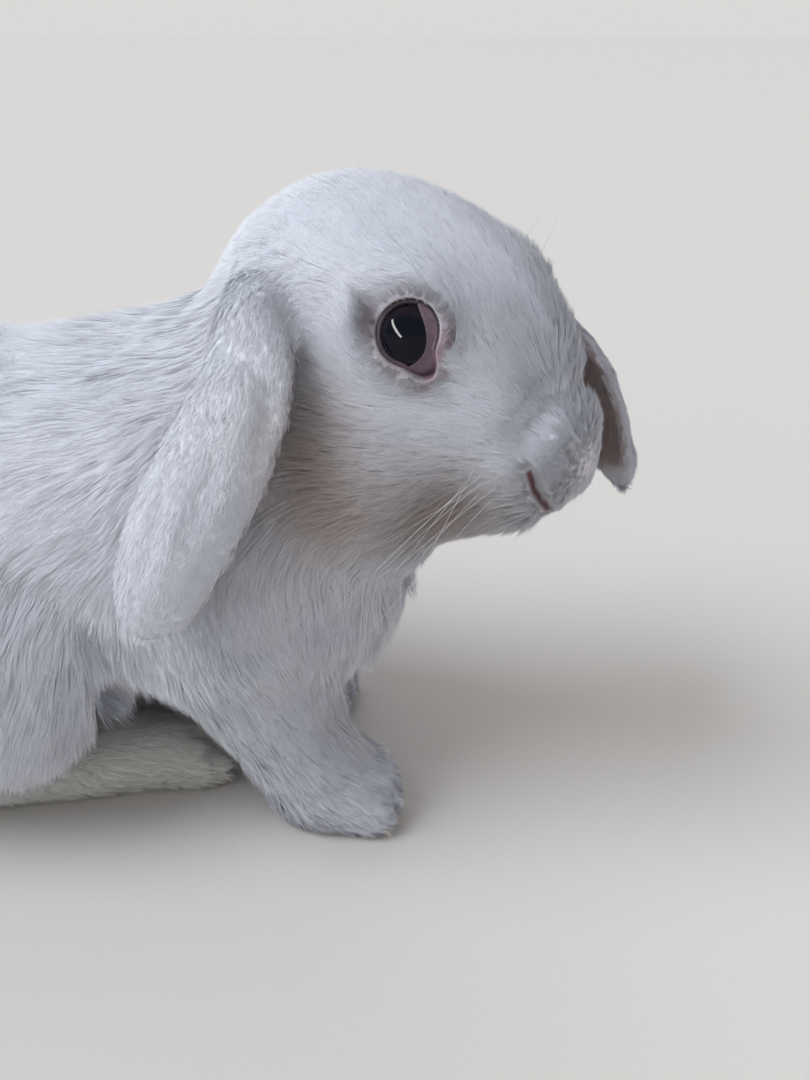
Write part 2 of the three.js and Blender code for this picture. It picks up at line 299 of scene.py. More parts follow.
class Finish:
    """A material or the world, and the nodes it is made of."""

    def __init__(self, name, owner=None):
        self.owner = owner or bpy.data.materials.new(name)
        self.owner.use_nodes = True
        self.owner.node_tree.nodes.clear()

    def node(self, kind, settings, sockets):
        """A node of one kind, its settings first, then the values or links of its sockets."""
        made = self.owner.node_tree.nodes.new("ShaderNode" + kind)
        for name, value in settings.items():
            setattr(made, name, value)
        for name, value in sockets.items():
            socket = made.inputs[name]
            if isinstance(value, Value):
                self.owner.node_tree.links.new(value.socket, socket)
            else:
                socket.default_value = (*value, 1) if socket.type == "RGBA" else value
        return made

    def add(self, kind, settings, sockets, output=0):
        """The same, as a value for sums."""
        return Value(self, self.node(kind, settings, sockets).outputs[output])

    def mark(self, name):
        """A number kept on the mesh."""
        return self.add("Attribute", {"attribute_name": name}, {}, "Fac")

    def noise(self, scale, detail=2.0):
        """Noise of about 0 to 1, with scale in features per metre."""
        place = self.add("TexCoord", {}, {}, "Object")
        sockets = {"Vector": place, "Scale": scale, "Detail": detail}
        return self.add("TexNoise", {}, sockets, "Fac")

    def blend(self, share, first, second, way="MIX"):
        """One colour turning into another, or into its product with it."""
        return self.add("Mix", {"data_type": "RGBA", "blend_type": way}, {0: share, 6: first, 7: second}, 2)

    def bump(self, height, distance, strength=1.0):
        """A normal from a height, with distance in metres."""
        return self.add("Bump", {}, {"Height": height, "Distance": distance, "Strength": strength})

    def principled(self, sockets):
        """Ends the material in one shader with these sockets."""
        return self.close(self.add("BsdfPrincipled", {}, sockets))

    def close(self, shader, output="OutputMaterial"):
        """Ends the material or the world in its shader."""
        self.node(output, {}, {"Surface": shader})
        return self.owner


def coat_colours(finish, white):
    """The markings that skin and coat share: cool white, cream hind feet, brownish painted shade and bounce
    light that on the throat is partly a stain, and grey painted shade.
    """
    drift = finish.noise(60.0, 3.0)
    colour = finish.blend(drift.between(0.35, 0.75) * 0.5, white, COOL_SHADE)
    colour = finish.blend(finish.mark("cream") * 0.75, colour, CREAM)
    # painted shade and bounce light in brown on cheeks, throat and inner ears; on the throat partly a brown
    # stain
    colour = finish.blend(finish.mark("warm_shade_and_stain") * 0.85, colour, WARM_SHADE_AND_STAIN)
    # painted shade in dark grey round the eyes, mouth, muzzle, throat and inner ears
    colour = finish.blend(finish.mark("grey") * 0.95, colour, PAINTED_SHADE_GREY)
    return finish.blend(finish.mark("lid") * 0.9, colour, LID_MAUVE)


COOL_SHADE = (0.66, 0.68, 0.75)
HAIR_SHADE = (0.725, 0.724, 0.743)
CREAM = (0.86, 0.84, 0.76)
# Brown of the painted shade and bounce light on cheeks, throat and inner ears, on the throat partly a stain
WARM_SHADE_AND_STAIN = (0.50, 0.40, 0.36)
# Dark grey of the painted shade
PAINTED_SHADE_GREY = (0.06, 0.055, 0.065)
LID_MAUVE = (0.30, 0.185, 0.235)
LID_DARK = (0.035, 0.020, 0.028)
PINK = (0.72, 0.42, 0.42)
BARE_PINK = (0.60, 0.30, 0.31)
MOUTH_RED = (0.075, 0.009, 0.012)


def skin_finish(white):
    """Pale skin under the coat, pink where it is bare, dark red in the mouth."""
    finish = Finish("skin")
    colour = coat_colours(finish, white)
    blotch = finish.noise(900.0, 3.0)
    bare = finish.blend(blotch.between(0.3, 0.7), PINK, BARE_PINK)
    colour = finish.blend(finish.mark("bare"), colour, bare)
    colour = finish.blend(finish.mark("mouth"), colour, MOUTH_RED)
    pores = finish.noise(2600.0, 4.0) + finish.noise(700.0, 2.0) * 0.6
    return finish.principled({
        "Base Color": colour,
        "Roughness": 0.75 - finish.mark("mouth") * 0.4 - finish.mark("bare") * 0.15,
        "Normal": finish.bump(pores, 0.0004, 0.6),
        "Sheen Weight": 0.15,
    })


def coat_finish(white):
    """White hair: greyer at the root, brighter at the tip, each tuft a little its own tone."""
    finish = Finish("coat")
    colour = coat_colours(finish, white)
    tone = finish.mark("tone")
    colour = finish.blend(tone.between(0.25, 0.85) * 0.45, colour, HAIR_SHADE, "MULTIPLY")
    root = 1 - finish.mark("along").between(0.0, 0.6)
    colour = finish.blend(root * 0.25, colour, HAIR_SHADE, "MULTIPLY")
    colour = finish.blend(finish.mark("bare") * 0.3, colour, PINK)
    strands = finish.noise(5200.0, 2.0)
    return finish.principled({
        "Base Color": colour,
        "Roughness": 0.62 + strands * 0.2,
        "Normal": finish.bump(strands, 0.0002, 0.5),
        "Sheen Weight": 0.12,
        "Sheen Roughness": 0.5,
        "Specular IOR Level": 0.25,
    })


def eye_finish(brown):
    """A nearly black eye: a brown iris round a black pupil under a clear, wet cornea."""
    finish = Finish("eye")
    polar = finish.mark("polar")
    ray = finish.noise(1500.0, 4.0)
    iris = finish.blend(ray.between(0.35, 0.7), brown, tuple(0.45 * tone for tone in brown))
    pupil = 1 - polar.between(0.30, 0.36)
    colour = finish.blend(pupil, iris, (0.002, 0.003, 0.008))
    colour = finish.blend(polar.between(0.62, 0.78), colour, (0.014, 0.008, 0.013))
    return finish.principled({
        "Base Color": colour,
        "Roughness": 0.28 - pupil * 0.1,
        "Normal": finish.bump(ray, 0.0001, 0.3),
        "Specular IOR Level": 0.0,
        "Coat Weight": 0.55,
        "Coat Roughness": 0.03,
        "Coat IOR": 1.38,
    })


def lid_finish():
    """Moist, pinkish grey lid skin, darker at its edge."""
    finish = Finish("lid")
    patch = finish.noise(1100.0, 3.0)
    colour = finish.blend(patch.between(0.3, 0.7), LID_MAUVE, (0.21, 0.15, 0.19))
    colour = finish.blend(finish.mark("edge"), colour, LID_DARK)
    return finish.principled({
        "Base Color": colour,
        "Roughness": 0.38 + patch * 0.2,
        "Normal": finish.bump(finish.noise(3200.0, 3.0), 0.0002, 0.6),
        "Specular IOR Level": 0.3,
        "Coat Weight": 0.1,
    })


def horn_finish():
    """Pale, ridged horn, browner at the root."""
    finish = Finish("horn")
    ridges = finish.noise(1800.0, 3.0)
    colour = finish.blend(finish.mark("along"), (0.42, 0.30, 0.22), (0.74, 0.66, 0.55))
    colour = finish.blend(ridges.between(0.4, 0.8) * 0.3, colour, (0.30, 0.21, 0.15))
    return finish.principled({
        "Base Color": colour,
        "Roughness": 0.35 + ridges * 0.2,
        "Normal": finish.bump(ridges, 0.0002, 0.4),
    })


def whisker_finish():
    """Stiff white hair with a faint gloss."""
    finish = Finish("whisker")
    along = finish.mark("along")
    colour = finish.blend(along, (0.50, 0.48, 0.48), (0.74, 0.74, 0.76))
    return finish.principled({
        "Base Color": colour,
        "Roughness": 0.3 + finish.noise(3000.0) * 0.2,
        "Normal": finish.bump(finish.noise(6000.0), 0.0001, 0.3),
    })


def floor_finish(colour):
    """A plain pale floor."""
    finish = Finish("floor")
    grain = finish.noise(900.0, 3.0)
    shade = finish.blend(grain.between(0.3, 0.7) * 0.2, colour, tuple(0.93 * tone for tone in colour))
    return finish.principled({
        "Base Color": shade,
        "Roughness": 0.85 + grain * 0.1,
        "Normal": finish.bump(grain, 0.0002, 0.2),
        "Specular IOR Level": 0.2,
    })


# ---------------------------------------------------------------- the coat's plan

# What each part of the body wears, in mm: how deep the coat lies over the skin, how long its tufts are,
# how far apart they stand, how wide a blade is, and how far the tips of a tuft gather.
COAT = {
    "trunk": (5.0, 12.5, 1.42, 0.27, 0.18),
    "neck": (4.5, 11.0, 1.38, 0.27, 0.20),
    "hind_leg": (5.0, 11.5, 1.40, 0.27, 0.18),
    "fore_leg": (3.4, 9.0, 1.34, 0.26, 0.18),
    "fore_paw": (1.8, 4.5, 1.14, 0.24, 0.14),
    "hind_foot": (1.8, 4.5, 1.20, 0.24, 0.14),
    "head": (2.2, 5.8, 1.12, 0.22, 0.14),
    "ear": (0.8, 3.0, 0.98, 0.18, 0.06),
    "tail": (4.5, 12.0, 1.35, 0.30, 0.36),
}
EYE_COAT = (0.5, 2.0, 0.72, 0.16, 0.0)
LIP_COAT = (0.5, 1.4, 0.66, 0.16, 0.0)
# The same on the muzzle and the nose: a place on the head, its radius in mm, and what it wears.
FACE_COAT = (
    ((42, 0, -2), 17, (1.4, 3.8, 0.95, 0.20, 0.08)),
    ((52, 0, 2), 9, (0.4, 1.3, 0.66, 0.16, 0.0)),
)
DEPTH, LENGTH, APART, WIDTH, GATHER = range(5)


def kind_of(node):
    """The coat's entry for a solid."""
    return next(kind for kind in COAT if node.startswith(kind))


FLESH = [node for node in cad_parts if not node.startswith("eye")]
HAUNCH_LIE = (-0.45, 0.0, -1.0)


def eye_axes(side):
    """An eye's middle, the way it looks, and the forward and upward ways across it."""
    sign = -1 if side == "right" else 1
    look = unit(np.array((0.38, 0.90 * sign, 0.21)) @ HEAD_AXES)
    ahead = unit(FORWARD - (FORWARD @ look) * look)
    above = np.cross(ahead, look) * sign
    return middle("eye_" + side), look, ahead, above


def eye_view(points, side):
    """How points lie before an eye, in mm: along its look, off it, the opening's edge and the offset."""
    centre, look, ahead, above = eye_axes(side)
    away = (points - centre) / MM
    height = away @ look
    flat = away - height[:, None] * look
    turn = np.degrees(np.arctan2(flat @ above, flat @ ahead))
    edge = EYE_RADIUS * np.sin(np.radians(opening(turn)))
    return height, np.linalg.norm(flat, axis=1), edge, flat


def ear_spine(side, count=9):
    """Points down the middle of an ear, from root to tip."""
    points = solid_points("ear_" + side)
    centred = points - points.mean(axis=0)
    reach = centred @ np.linalg.svd(centred, full_matrices=False)[2][0]
    first, last = points[reach.argmin()], points[reach.argmax()]
    reach = reach if np.linalg.norm(first - HEAD) < np.linalg.norm(last - HEAD) else -reach
    steps = np.linspace(reach.min(), reach.max(), count + 1)
    inside = [points[(reach >= a) & (reach <= b)] for a, b in zip(steps[:-1], steps[1:])]
    return np.array([(group.min(axis=0) + group.max(axis=0)) / 2 for group in inside if len(group)])


def paw_axis(node):
    """The level way a paw or foot points."""
    points = solid_points(node)[:, :2]
    spread = np.linalg.svd(points - points.mean(axis=0), full_matrices=False)[2][0]
    spread = spread if spread[0] > 0 else -spread
    return np.array((*spread, 0.0))


def lie_of(node, points, normals):
    """The way the hair lies on one part, before it is laid along the skin."""
    kind, side = kind_of(node), node.rsplit("_", 1)[-1]
    steep = np.abs(normals[:, 1])
    if kind == "head":
        return points - on_head(60, 0, 2)
    if kind == "ear":
        spine = ear_spine(side)
        along = unit(np.gradient(spine, axis=0))
        nearest = np.argmin(((points[:, None] - spine[None]) ** 2).sum(axis=2), axis=1)
        return along[nearest]
    if kind == "trunk":
        chest = ramp(normals[:, 0], 0.2, 0.8)[:, None]
        back = np.stack((-np.ones(len(points)), normals[:, 1] * 0.2, -0.9 * steep), 1)
        return back * (1 - chest) + chest * (-UP)
    if kind == "neck":
        chest = ramp(normals[:, 0], 0.0, 0.6)[:, None]
        back = np.stack((-np.ones(len(points)), normals[:, 1] * 0.2, -0.5 - 0.9 * steep), 1)
        return back * (1 - chest) + chest * (-UP)
    if kind == "hind_leg":
        return np.tile(HAUNCH_LIE, (len(points), 1))
    if kind == "fore_leg":
        return middle("fore_paw_" + side) - points
    if kind == "tail":
        return np.tile((-0.35, 0.0, 1.0), (len(points), 1))
    return np.tile(paw_axis(node) - 0.25 * UP, (len(points), 1))


TOES = 4
FEET = ("fore_paw_right", "fore_paw_left", "hind_foot_right", "hind_foot_left")
MADE = {}


def plan_coat(surface, parts, rng):
    """Lays out depth, length, spacing, width and lie of the coat over the skin."""
    wear = np.array([COAT[kind_of(node)] for node in FLESH])[parts]
    wear = surface.spread(wear, 40)
    points, normals = surface.points, surface.normals
    face = [(near(points, on_head(*place), radius), worn) for place, radius, worn in FACE_COAT]
    for sign, side in zip(SIGNS, SIDES):
        height, gap, edge, _ = eye_view(points, side)
        face.append(((height > 0) * (1 - ramp(gap - edge, 1.0, 8.0)), EYE_COAT))
        slit, _ = off_path(points, on_skin(points, mirrored(MOUTH_SLIT, sign)))
        face.append((np.exp(-((slit / 4.0) ** 2)), LIP_COAT))
    for share, worn in face:
        wear += (worn - wear) * share[:, None]
    wear[:, DEPTH] = np.minimum(wear[:, DEPTH], surface.spread(0.3 * room_under(surface), 6))
    lie = np.zeros_like(points)
    for i, node in enumerate(FLESH):
        worn = parts == i
        lie[worn] = unit(lie_of(node, points[worn], normals[worn]))
    lie = unit(surface.spread(lie, 60))
    for sign, side in zip(SIGNS, SIDES):
        lie = part_round_eye(points, lie, side)
        slit = on_skin(points, mirrored(MOUTH_SLIT, sign))
        gap, _ = off_path(points, slit)
        lips = np.exp(-((gap / 3.5) ** 2))[:, None]
        lie = unit(lie + 2.5 * lips * unit(points - slit.mean(axis=0)))
    tousle = 0.16 * np.clip(wear[:, [LENGTH]] / 9, 0.25, 1)
    lie = unit(lie + tousle * surface.noise(rng, 25, 3))
    return wear, lie


MOST_ROOM = 60.0  # mm
WAYS_IN = ((0, 0), (50, 0), (50, 120), (50, 240))  # degrees off straight in, and round it


def room_under(surface):
    """How much body lies under each point of the skin, in mm: the shortest of a few ways in."""
    tree = skin_tree(surface)
    start = surface.points - surface.normals * 0.4 * MM
    across = unit(np.cross(surface.normals, CROWN + 0.1 * LEFTWARD))
    along = np.cross(surface.normals, across)
    room = np.full(len(start), MOST_ROOM)
    for lean, turn in WAYS_IN:
        lean, turn = math.radians(lean), math.radians(turn)
        aside = math.cos(turn) * across + math.sin(turn) * along
        ways = math.sin(lean) * aside - math.cos(lean) * surface.normals
        found = [tree.ray_cast(Vector(a), Vector(b), MOST_ROOM * MM)[3] for a, b in zip(start, ways)]
        room = np.minimum(room, [MOST_ROOM if distance is None else distance / MM for distance in found])
    return room


RIM_PUSH = 2.4  # how strongly the hair at an eye's rim points away from it


def part_round_eye(points, lie, side):
    """Turns the hair to flow round the eye, as water round a post."""
    centre, look, _, _ = eye_axes(side)
    away = points - centre
    outward = unit(away - (away @ look)[:, None] * look)
    gap = np.linalg.norm(away - (away @ look)[:, None] * look, axis=1) / MM
    held = (EYE_RADIUS / np.maximum(gap, EYE_RADIUS)) ** 2 * 0.85
    held = (held * (away @ look > 0) * (1 - ramp(gap, 16, 26)))[:, None]
    flow = np.sum(lie * outward, axis=1, keepdims=True)
    lie = unit(lie * (1 + held) - 2 * held * flow * outward)
    rim = ((away @ look > 0) * (1 - ramp(gap, 8.0, 11.5)))[:, None]
    return unit(lie + rim * RIM_PUSH * outward)


# ---------------------------------------------------------------- skin


def grown_solid(node, grow):
    """A copy of a solid with its surface moved outward a little."""
    work = bmesh.new()
    work.from_mesh(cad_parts[node].data)
    bmesh.ops.remove_doubles(work, verts=work.verts, dist=0.01 * MM)
    work.normal_update()
    for vert in work.verts:
        vert.co += vert.normal * grow
    mesh = bpy.data.meshes.new("grown")
    work.to_mesh(mesh)
    work.free()
    return make_object("grown", mesh)


def joined_flesh(grow, voxel):
    """All the solids, grown until they run into each other, under one even skin of small squares."""
    solids = [grown_solid(node, grow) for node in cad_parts]
    for other in solids[1:]:
        union = solids[0].modifiers.new("union", "BOOLEAN")
        union.operation, union.solver, union.object = "UNION", "MANIFOLD", other
    remesh = solids[0].modifiers.new("even", "REMESH")
    remesh.mode, remesh.voxel_size = "VOXEL", voxel
    evaluated = solids[0].evaluated_get(bpy.context.evaluated_depsgraph_get())
    even = bpy.data.meshes.new_from_object(evaluated)
    for solid in solids:
        bpy.data.meshes.remove(solid.data)
    return even


def drop_islands(work):
    """Keeps only the largest connected piece."""
    left, largest = set(work.verts), []
    while left:
        seed = left.pop()
        island, edge = [seed], [seed]
        while edge:
            reached = []
            for vert in edge:
                for link in vert.link_edges:
                    other = link.other_vert(vert)
                    if other in left:
                        left.remove(other)
                        reached.append(other)
            island += reached
            edge = reached
        largest = max(largest, island, key=len)
    keep = set(largest)
    bmesh.ops.delete(work, geom=[vert for vert in work.verts if vert not in keep], context="VERTS")


def refine(work, centre, radius):
    """Halves the squares round a place."""
    centre = Vector(centre)
    near_verts = {vert for vert in work.verts if (vert.co - centre).length < radius}
    edges = [edge for edge in work.edges if edge.verts[0] in near_verts and edge.verts[1] in near_verts]
    bmesh.ops.subdivide_edges(work, edges=edges, cuts=1, use_grid_fill=True)


def nearest_parts(points):
    """Which of the flesh solids each point lies on."""
    labelled = [(point, i) for i, node in enumerate(FLESH) for point in solid_points(node)]
    tree = KDTree(len(labelled))
    for i, (point, _) in enumerate(labelled):
        tree.insert(point, i)
    tree.balance()
    owner = np.array([label for _, label in labelled])
    return owner[[tree.find(point)[1] for point in points]]


def on_skin(points, path):
    """A path laid on the skin: the middle of the few skin points nearest to each of its places."""
    nearest = [np.argpartition(np.sum((points - place) ** 2, axis=1), 6)[:6] for place in path]
    return np.array([points[chosen].mean(axis=0) for chosen in nearest])


def furrow(points, path, depth, width):
    """How far a soft furrow along a path lies under the skin; depth and width in mm."""
    gap, along = off_path(points, on_skin(points, path))
    return -depth * np.sin(np.pi * np.clip(along, 0.05, 0.95)) ** 0.5 * np.exp(-((gap / width) ** 2))


def mound(points, centre, radius, height):
    """How far a soft mound stands over the skin; radius and height in mm."""
    return height * near(points, centre, radius)


def mirrored(path, sign):
    """A path on the head's right side, or its mirror image on the left."""
    path = np.array(path)
    return path if sign < 0 else path - 2 * np.outer((path - HEAD) @ LEFTWARD, LEFTWARD)


def head_path(*places):
    """Places in the head's own axes, in mm, as points of the frame."""
    return [on_head(*place) for place in places]


MOUTH_SLIT = head_path((45.8, -14.0, -0.3), (48.2, -12.7, -3.4), (50.0, -10.6, -6.6), (51.0, -7.5, -9.2))
NOSTRIL = head_path((49.5, -7.0, 5.2), (52.0, -4.4, 3.0), (53.2, -1.6, 0.4))
NOSE_CREASE = head_path((45, -2.0, 15.0), (42, -9.0, 12.5), (42, -13.8, 7.0), (45, -15, 1.5))
BRIDGE = head_path((30, -10.5, 25), (37, -12.0, 16))
LIP_SPLIT = head_path((53, 0, 0.0), (52.8, 0, -4), (51.6, 0, -9.0))


def model_muzzle(surface):
    """Nose, nostrils, split lip, mouth, whisker pads and chin."""
    points = surface.points
    height = mound(points, on_head(48, 0, -15), 6.5, 0.8) + furrow(points, LIP_SPLIT, 0.9, 0.8)
    for sign in SIGNS:
        height += mound(points, on_head(46.5, 7.5 * sign, 7.5), 6.0, 1.7)
        height += mound(points, on_head(38, 17.5 * sign, -3.0), 8.5, 1.3)
        height += mound(points, on_head(31, 20.0 * sign, 0.0), 8.5, 1.0)
        height += furrow(points, mirrored(NOSE_CREASE, sign), 1.5, 2.8)
        height += furrow(points, mirrored(NOSTRIL, sign), 0.5, 1.1)
        height += furrow(points, mirrored(MOUTH_SLIT, sign), 2.2, 1.3)
    surface.sculpt(height)


EYE_BED = 22  # how far round an eye the skin is shaped, in mm
BOWL_DEPTH = 1.5  # how far under the eyeball the skin lies, in mm
LID_RISE = (0.4, 1.3)  # how far out of the opening the skin begins and ends its rise, in mm


def seat_eye(surface, side):
    """Sinks the skin behind the eyeball, lays it over the lid ring and draws it out into soft lids."""
    centre, look, _, _ = eye_axes(side)
    height, gap, edge, flat = eye_view(surface.points, side)
    worn = (height > -15) & (gap < EYE_BED)
    slope = EYE_RADIUS + 0.5 - 0.046 * gap**2
    lids = np.where(gap > 11, slope - 5 * ramp(gap, 11, 20), slope)
    lids = (height + lids + np.sqrt((height - lids) ** 2 + 4.0)) / 2 - 0.3
    lids = height + (lids - height) * (1 - ramp(gap, 13, 21))
    bowl = np.sqrt(np.maximum(EYE_RADIUS**2 - np.minimum(gap, 8.6) ** 2, 0)) - BOWL_DEPTH
    lids = np.where(gap < 8.5, np.maximum(lids, bowl + 2.1), lids)
    target = bowl + (lids - bowl) * ramp(gap, edge + LID_RISE[0], edge + LID_RISE[1])
    moved = flat + look * target[:, None]
    surface.place(np.where(worn[:, None], centre + moved * MM, surface.points))


def raise_mark(marks, name, values):
    """Lifts a mark to these values wherever they are higher."""
    marks[name] = np.maximum(marks[name], values)


def mark_skin(surface, parts):
    """Cream hind feet, bare nose, red mouth and flushed inner ears, with painted shade in dark eye rims and
    painted shade and bounce light on brownish cheeks.
    """
    points = surface.points
    feet = np.isin(parts, [i for i, node in enumerate(FLESH) if kind_of(node) == "hind_foot"])
    marks = {"cream": surface.spread(feet.astype(float), 25)}
    marks["bare"] = near(points, on_head(53.5, 0, 0), 1.8) * 0.8
    marks.update({name: np.zeros(surface.count) for name in ("mouth", "warm_shade_and_stain", "grey", "lid")})
    for sign, side in zip(SIGNS, SIDES):
        mark_cheek(points, marks, sign)
        mark_eye(points, marks, side)
        mark_mouth(points, marks, sign)
        mark_ear(surface, parts, marks, side)
    for name in ("bare", "mouth"):
        marks[name] = np.clip(marks[name], 0, 1)
    return marks


def mark_cheek(points, marks, sign):
    """Painted shade and bounce light in brown on cheek and throat, the throat's partly a stain, and a little
    painted grey shade on the throat and muzzle.
    """
    cheek = 0.8 * near(points, on_head(8, 34.0 * sign, -10), 13)
    cheek = cheek + 0.8 * near(points, on_head(17, 30.0 * sign, -24), 11)
    throat = near(points, on_head(34, 15.0 * sign, -17), 13)
    # painted shade and bounce light in brown, on the throat partly a stain
    raise_mark(marks, "warm_shade_and_stain", np.minimum(cheek + throat, 1))
    # painted shade in grey on the throat and beside the nose
    raise_mark(marks, "grey", 0.32 * throat)
    raise_mark(marks, "grey", 0.18 * near(points, on_head(47, 8.0 * sign, 0), 12))


def mark_eye(points, marks, side):
    """Painted shade behind an eye and in a soft dark rim round it, and mauve skin before it and in its
    corner.
    """
    _, _, ahead, above = eye_axes(side)
    height, gap, edge, flat = eye_view(points, side)
    seen, out = height > 0, gap - edge
    behind, before = (turned(flat, way, ahead, above) for way in (188.0, 5.0))
    # painted shade behind the eye
    raise_mark(marks, "grey", seen * np.exp(-((behind / 46) ** 2)) * (1 - ramp(out, 2.6, 7.6)))
    facing = np.exp(-((before / 50) ** 2))
    rim = seen * (1 - ramp(out, 0.8, 4.8))
    # painted shade in a soft dark rim round the eye, except before it
    raise_mark(marks, "grey", 0.75 * rim * (1 - facing))
    corner = eye_corner(side)
    front = np.maximum(facing * (1 - ramp(out, 1.6, 5.4)), near(points, corner[-1], 2.6))
    raise_mark(marks, "lid", np.maximum(0.3 * rim, seen * front))
    raise_mark(marks, "bare", near(points, corner[-1], 1.4) * 0.5)


def mark_mouth(points, marks, sign):
    """The red mouth slit in its soft painted shade, the nostril, the lip below and the painted shade beside
    the bridge.
    """
    nostril, _ = off_path(points, on_skin(points, mirrored(NOSTRIL, sign)))
    raise_mark(marks, "bare", 0.15 * np.exp(-((nostril / 1.1) ** 2)))
    lips = on_skin(points, mirrored(MOUTH_SLIT, sign))
    gap, _ = off_path(points, lips)
    raise_mark(marks, "mouth", np.exp(-((gap / 1.0) ** 2.6)))
    # painted shade round the mouth slit
    raise_mark(marks, "grey", 0.6 * np.exp(-((gap / 3.4) ** 2)))
    bridge, _ = off_path(points, mirrored(BRIDGE, sign))
    # painted shade beside the bridge
    raise_mark(marks, "grey", 0.22 * np.exp(-((bridge / 5.5) ** 2)))
    raise_mark(marks, "bare", near(points, lips[-1] - CROWN * 3.0 * MM, 3.0) * 0.3)


def mark_ear(surface, parts, marks, side):
    """The face of an ear that is turned to the head: flushed pink, with painted shade in brown and grey."""
    points, spine = surface.points, ear_spine(side)
    ear = parts == FLESH.index("ear_" + side)
    nearest = spine[np.argmin(((points[:, None] - spine[None]) ** 2).sum(axis=2), axis=1)]
    inward = np.sum(unit(HEAD - nearest) * surface.normals, axis=1)
    inner = surface.spread(ear * ramp(inward, 0.35, 0.85), 4)
    # pink flush, and painted shade in brown and grey on the side turned to the head
    for name, share in (("bare", 0.45), ("warm_shade_and_stain", 1.0), ("grey", 0.45)):
        raise_mark(marks, name, share * inner)


# Where the skin's squares are halved: a radius round each eye, a place at the nose and its radius, in mm.
FINE_PLACES = ((14, (47, 0, 0), 20), (11, (50, 0, -2), 17))
SKIN_STEPS = 6  # how many steps the skin is sunk in


def build_skin(settings):
    """One skin over the flesh solids, as deep inside them as the coat is thick."""
    even = joined_flesh(0.35 * MM, settings.square)
    work = bmesh.new()
    work.from_mesh(even)
    drop_islands(work)
    for eye_radius, nose, nose_radius in FINE_PLACES:
        for side in SIDES:
            centre, look, _, _ = eye_axes(side)
            refine(work, centre + look * EYE_RADIUS * MM, eye_radius * MM)
        refine(work, on_head(*nose), nose_radius * MM)
    work.to_mesh(even)
    work.free()
    surface = Surface(even)
    surface.relax(12)
    parts = nearest_parts(surface.points)
    rng = np.random.default_rng(settings.seed)
    wear, lie = plan_coat(surface, parts, rng)
    for _ in range(SKIN_STEPS):
        inward = -unit(surface.spread(surface.normals, 12))
        surface.place(surface.points + inward * wear[:, [DEPTH]] * MM / SKIN_STEPS)
        surface.relax(2)
    for side in SIDES:
        surface.soften(ear_spine(side)[0], 9, 8)
        widen_ear_tip(surface, side)
        seat_eye(surface, side)
    model_muzzle(surface)
    model_ears(surface)
    model_toes(surface)
    MADE["surface"] = surface
    marks = mark_skin(surface, parts)
    for name, values in marks.items():
        paint(even, name, values)
    even.name = "skin"
    even.materials.clear()
    skin = make_object("skin", even, skin_finish(settings.white))
    unwrap(skin)
    settle(skin, "coat", *FLESH)
    MADE.update(parts=parts, wear=wear, lie=lie, marks=marks, rng=rng, skin=skin)


TIP_SPREAD = {"right": 0.2, "left": 1.0}  # how much broader the end of each ear is made


def widen_ear_tip(surface, side):
    """Rounds the end of an ear and makes it broader along the body."""
    tip = ear_spine(side)[-1]
    surface.soften(tip, 7, 8)
    share = near(surface.points, tip, 10)[:, None] * TIP_SPREAD[side]
    surface.place(surface.points + share * (surface.points - tip) * (1, 0, 0))


def toe_row(node):
    """The way a foot points, the way across it, how far it reaches, and the span of its front."""
    ahead, points = paw_axis(node), solid_points(node)
    side = np.cross(UP, ahead)
    reach, across = (points - middle(node)) @ ahead, (points - middle(node)) @ side
    front = across[reach > reach.max() - 7 * MM]
    return ahead, side, reach.max(), (front.min(), front.max())


def model_toes(surface):
    """Shallow grooves between the toes of each foot."""
    height = np.zeros(surface.count)
    for node in FEET:
        ahead, side, reach, (low, high) = toe_row(node)
        for share in np.arange(1, TOES) / TOES:
            tip = middle(node) + side * (low + (high - low) * share) + ahead * reach
            groove = [tip - UP * 4 * MM, tip + UP * 4 * MM, tip + (UP * 8 - ahead * 12) * MM]
            height += furrow(surface.points, groove, 1.3, 1.5)
    surface.sculpt(height)


def model_ears(surface):
    """The round knob at the right ear's root and the soft folds that run down the ear."""
    points = surface.points
    under_knob = ear_path((0.54, 0.71, 0.92), (0.54, 0.60, 0.87), (0.63, 0.48, 0.83), (0.76, 0.44, 0.82))
    front_fold = ear_path((0.78, 0.44, 0.82), (0.84, 0.39, 0.77), (0.87, 0.33, 0.69), (0.86, 0.26, 0.58))
    back_fold = ear_path((0.36, 0.27, 0.54), (0.31, 0.15, 0.43), (0.26, 0.05, 0.27))
    middle_fold = ear_path((0.62, 0.29, 0.70), (0.60, 0.17, 0.55), (0.49, 0.09, 0.35))
    height = furrow(points, under_knob, 1.0, 3.6) + furrow(points, front_fold, 1.2, 2.4)
    height += furrow(points, back_fold, 1.0, 2.2) + furrow(points, middle_fold, 0.9, 3.2)
    height += mound(points, in_box("ear_right", 0.71, 0.64, 0.91), 5.0, 1.8)
    surface.sculpt(height)


def ear_path(*places):
    """Places on the right ear, as shares of its box."""
    return [in_box("ear_right", *place) for place in places]


def unwrap(piece):
    """Lays the skin out flat."""
    bpy.context.view_layer.objects.active = piece
    piece.select_set(True)
    piece.data.uv_layers.new(name="OFBake")
    bpy.ops.object.mode_set(mode="EDIT")
    bpy.ops.mesh.select_all(action="SELECT")
    bpy.ops.uv.smart_project(angle_limit=1.15, island_margin=0.004, scale_to_bounds=True)
    bpy.ops.object.mode_set(mode="OBJECT")
    piece.select_set(False)


# ---------------------------------------------------------------- tufts


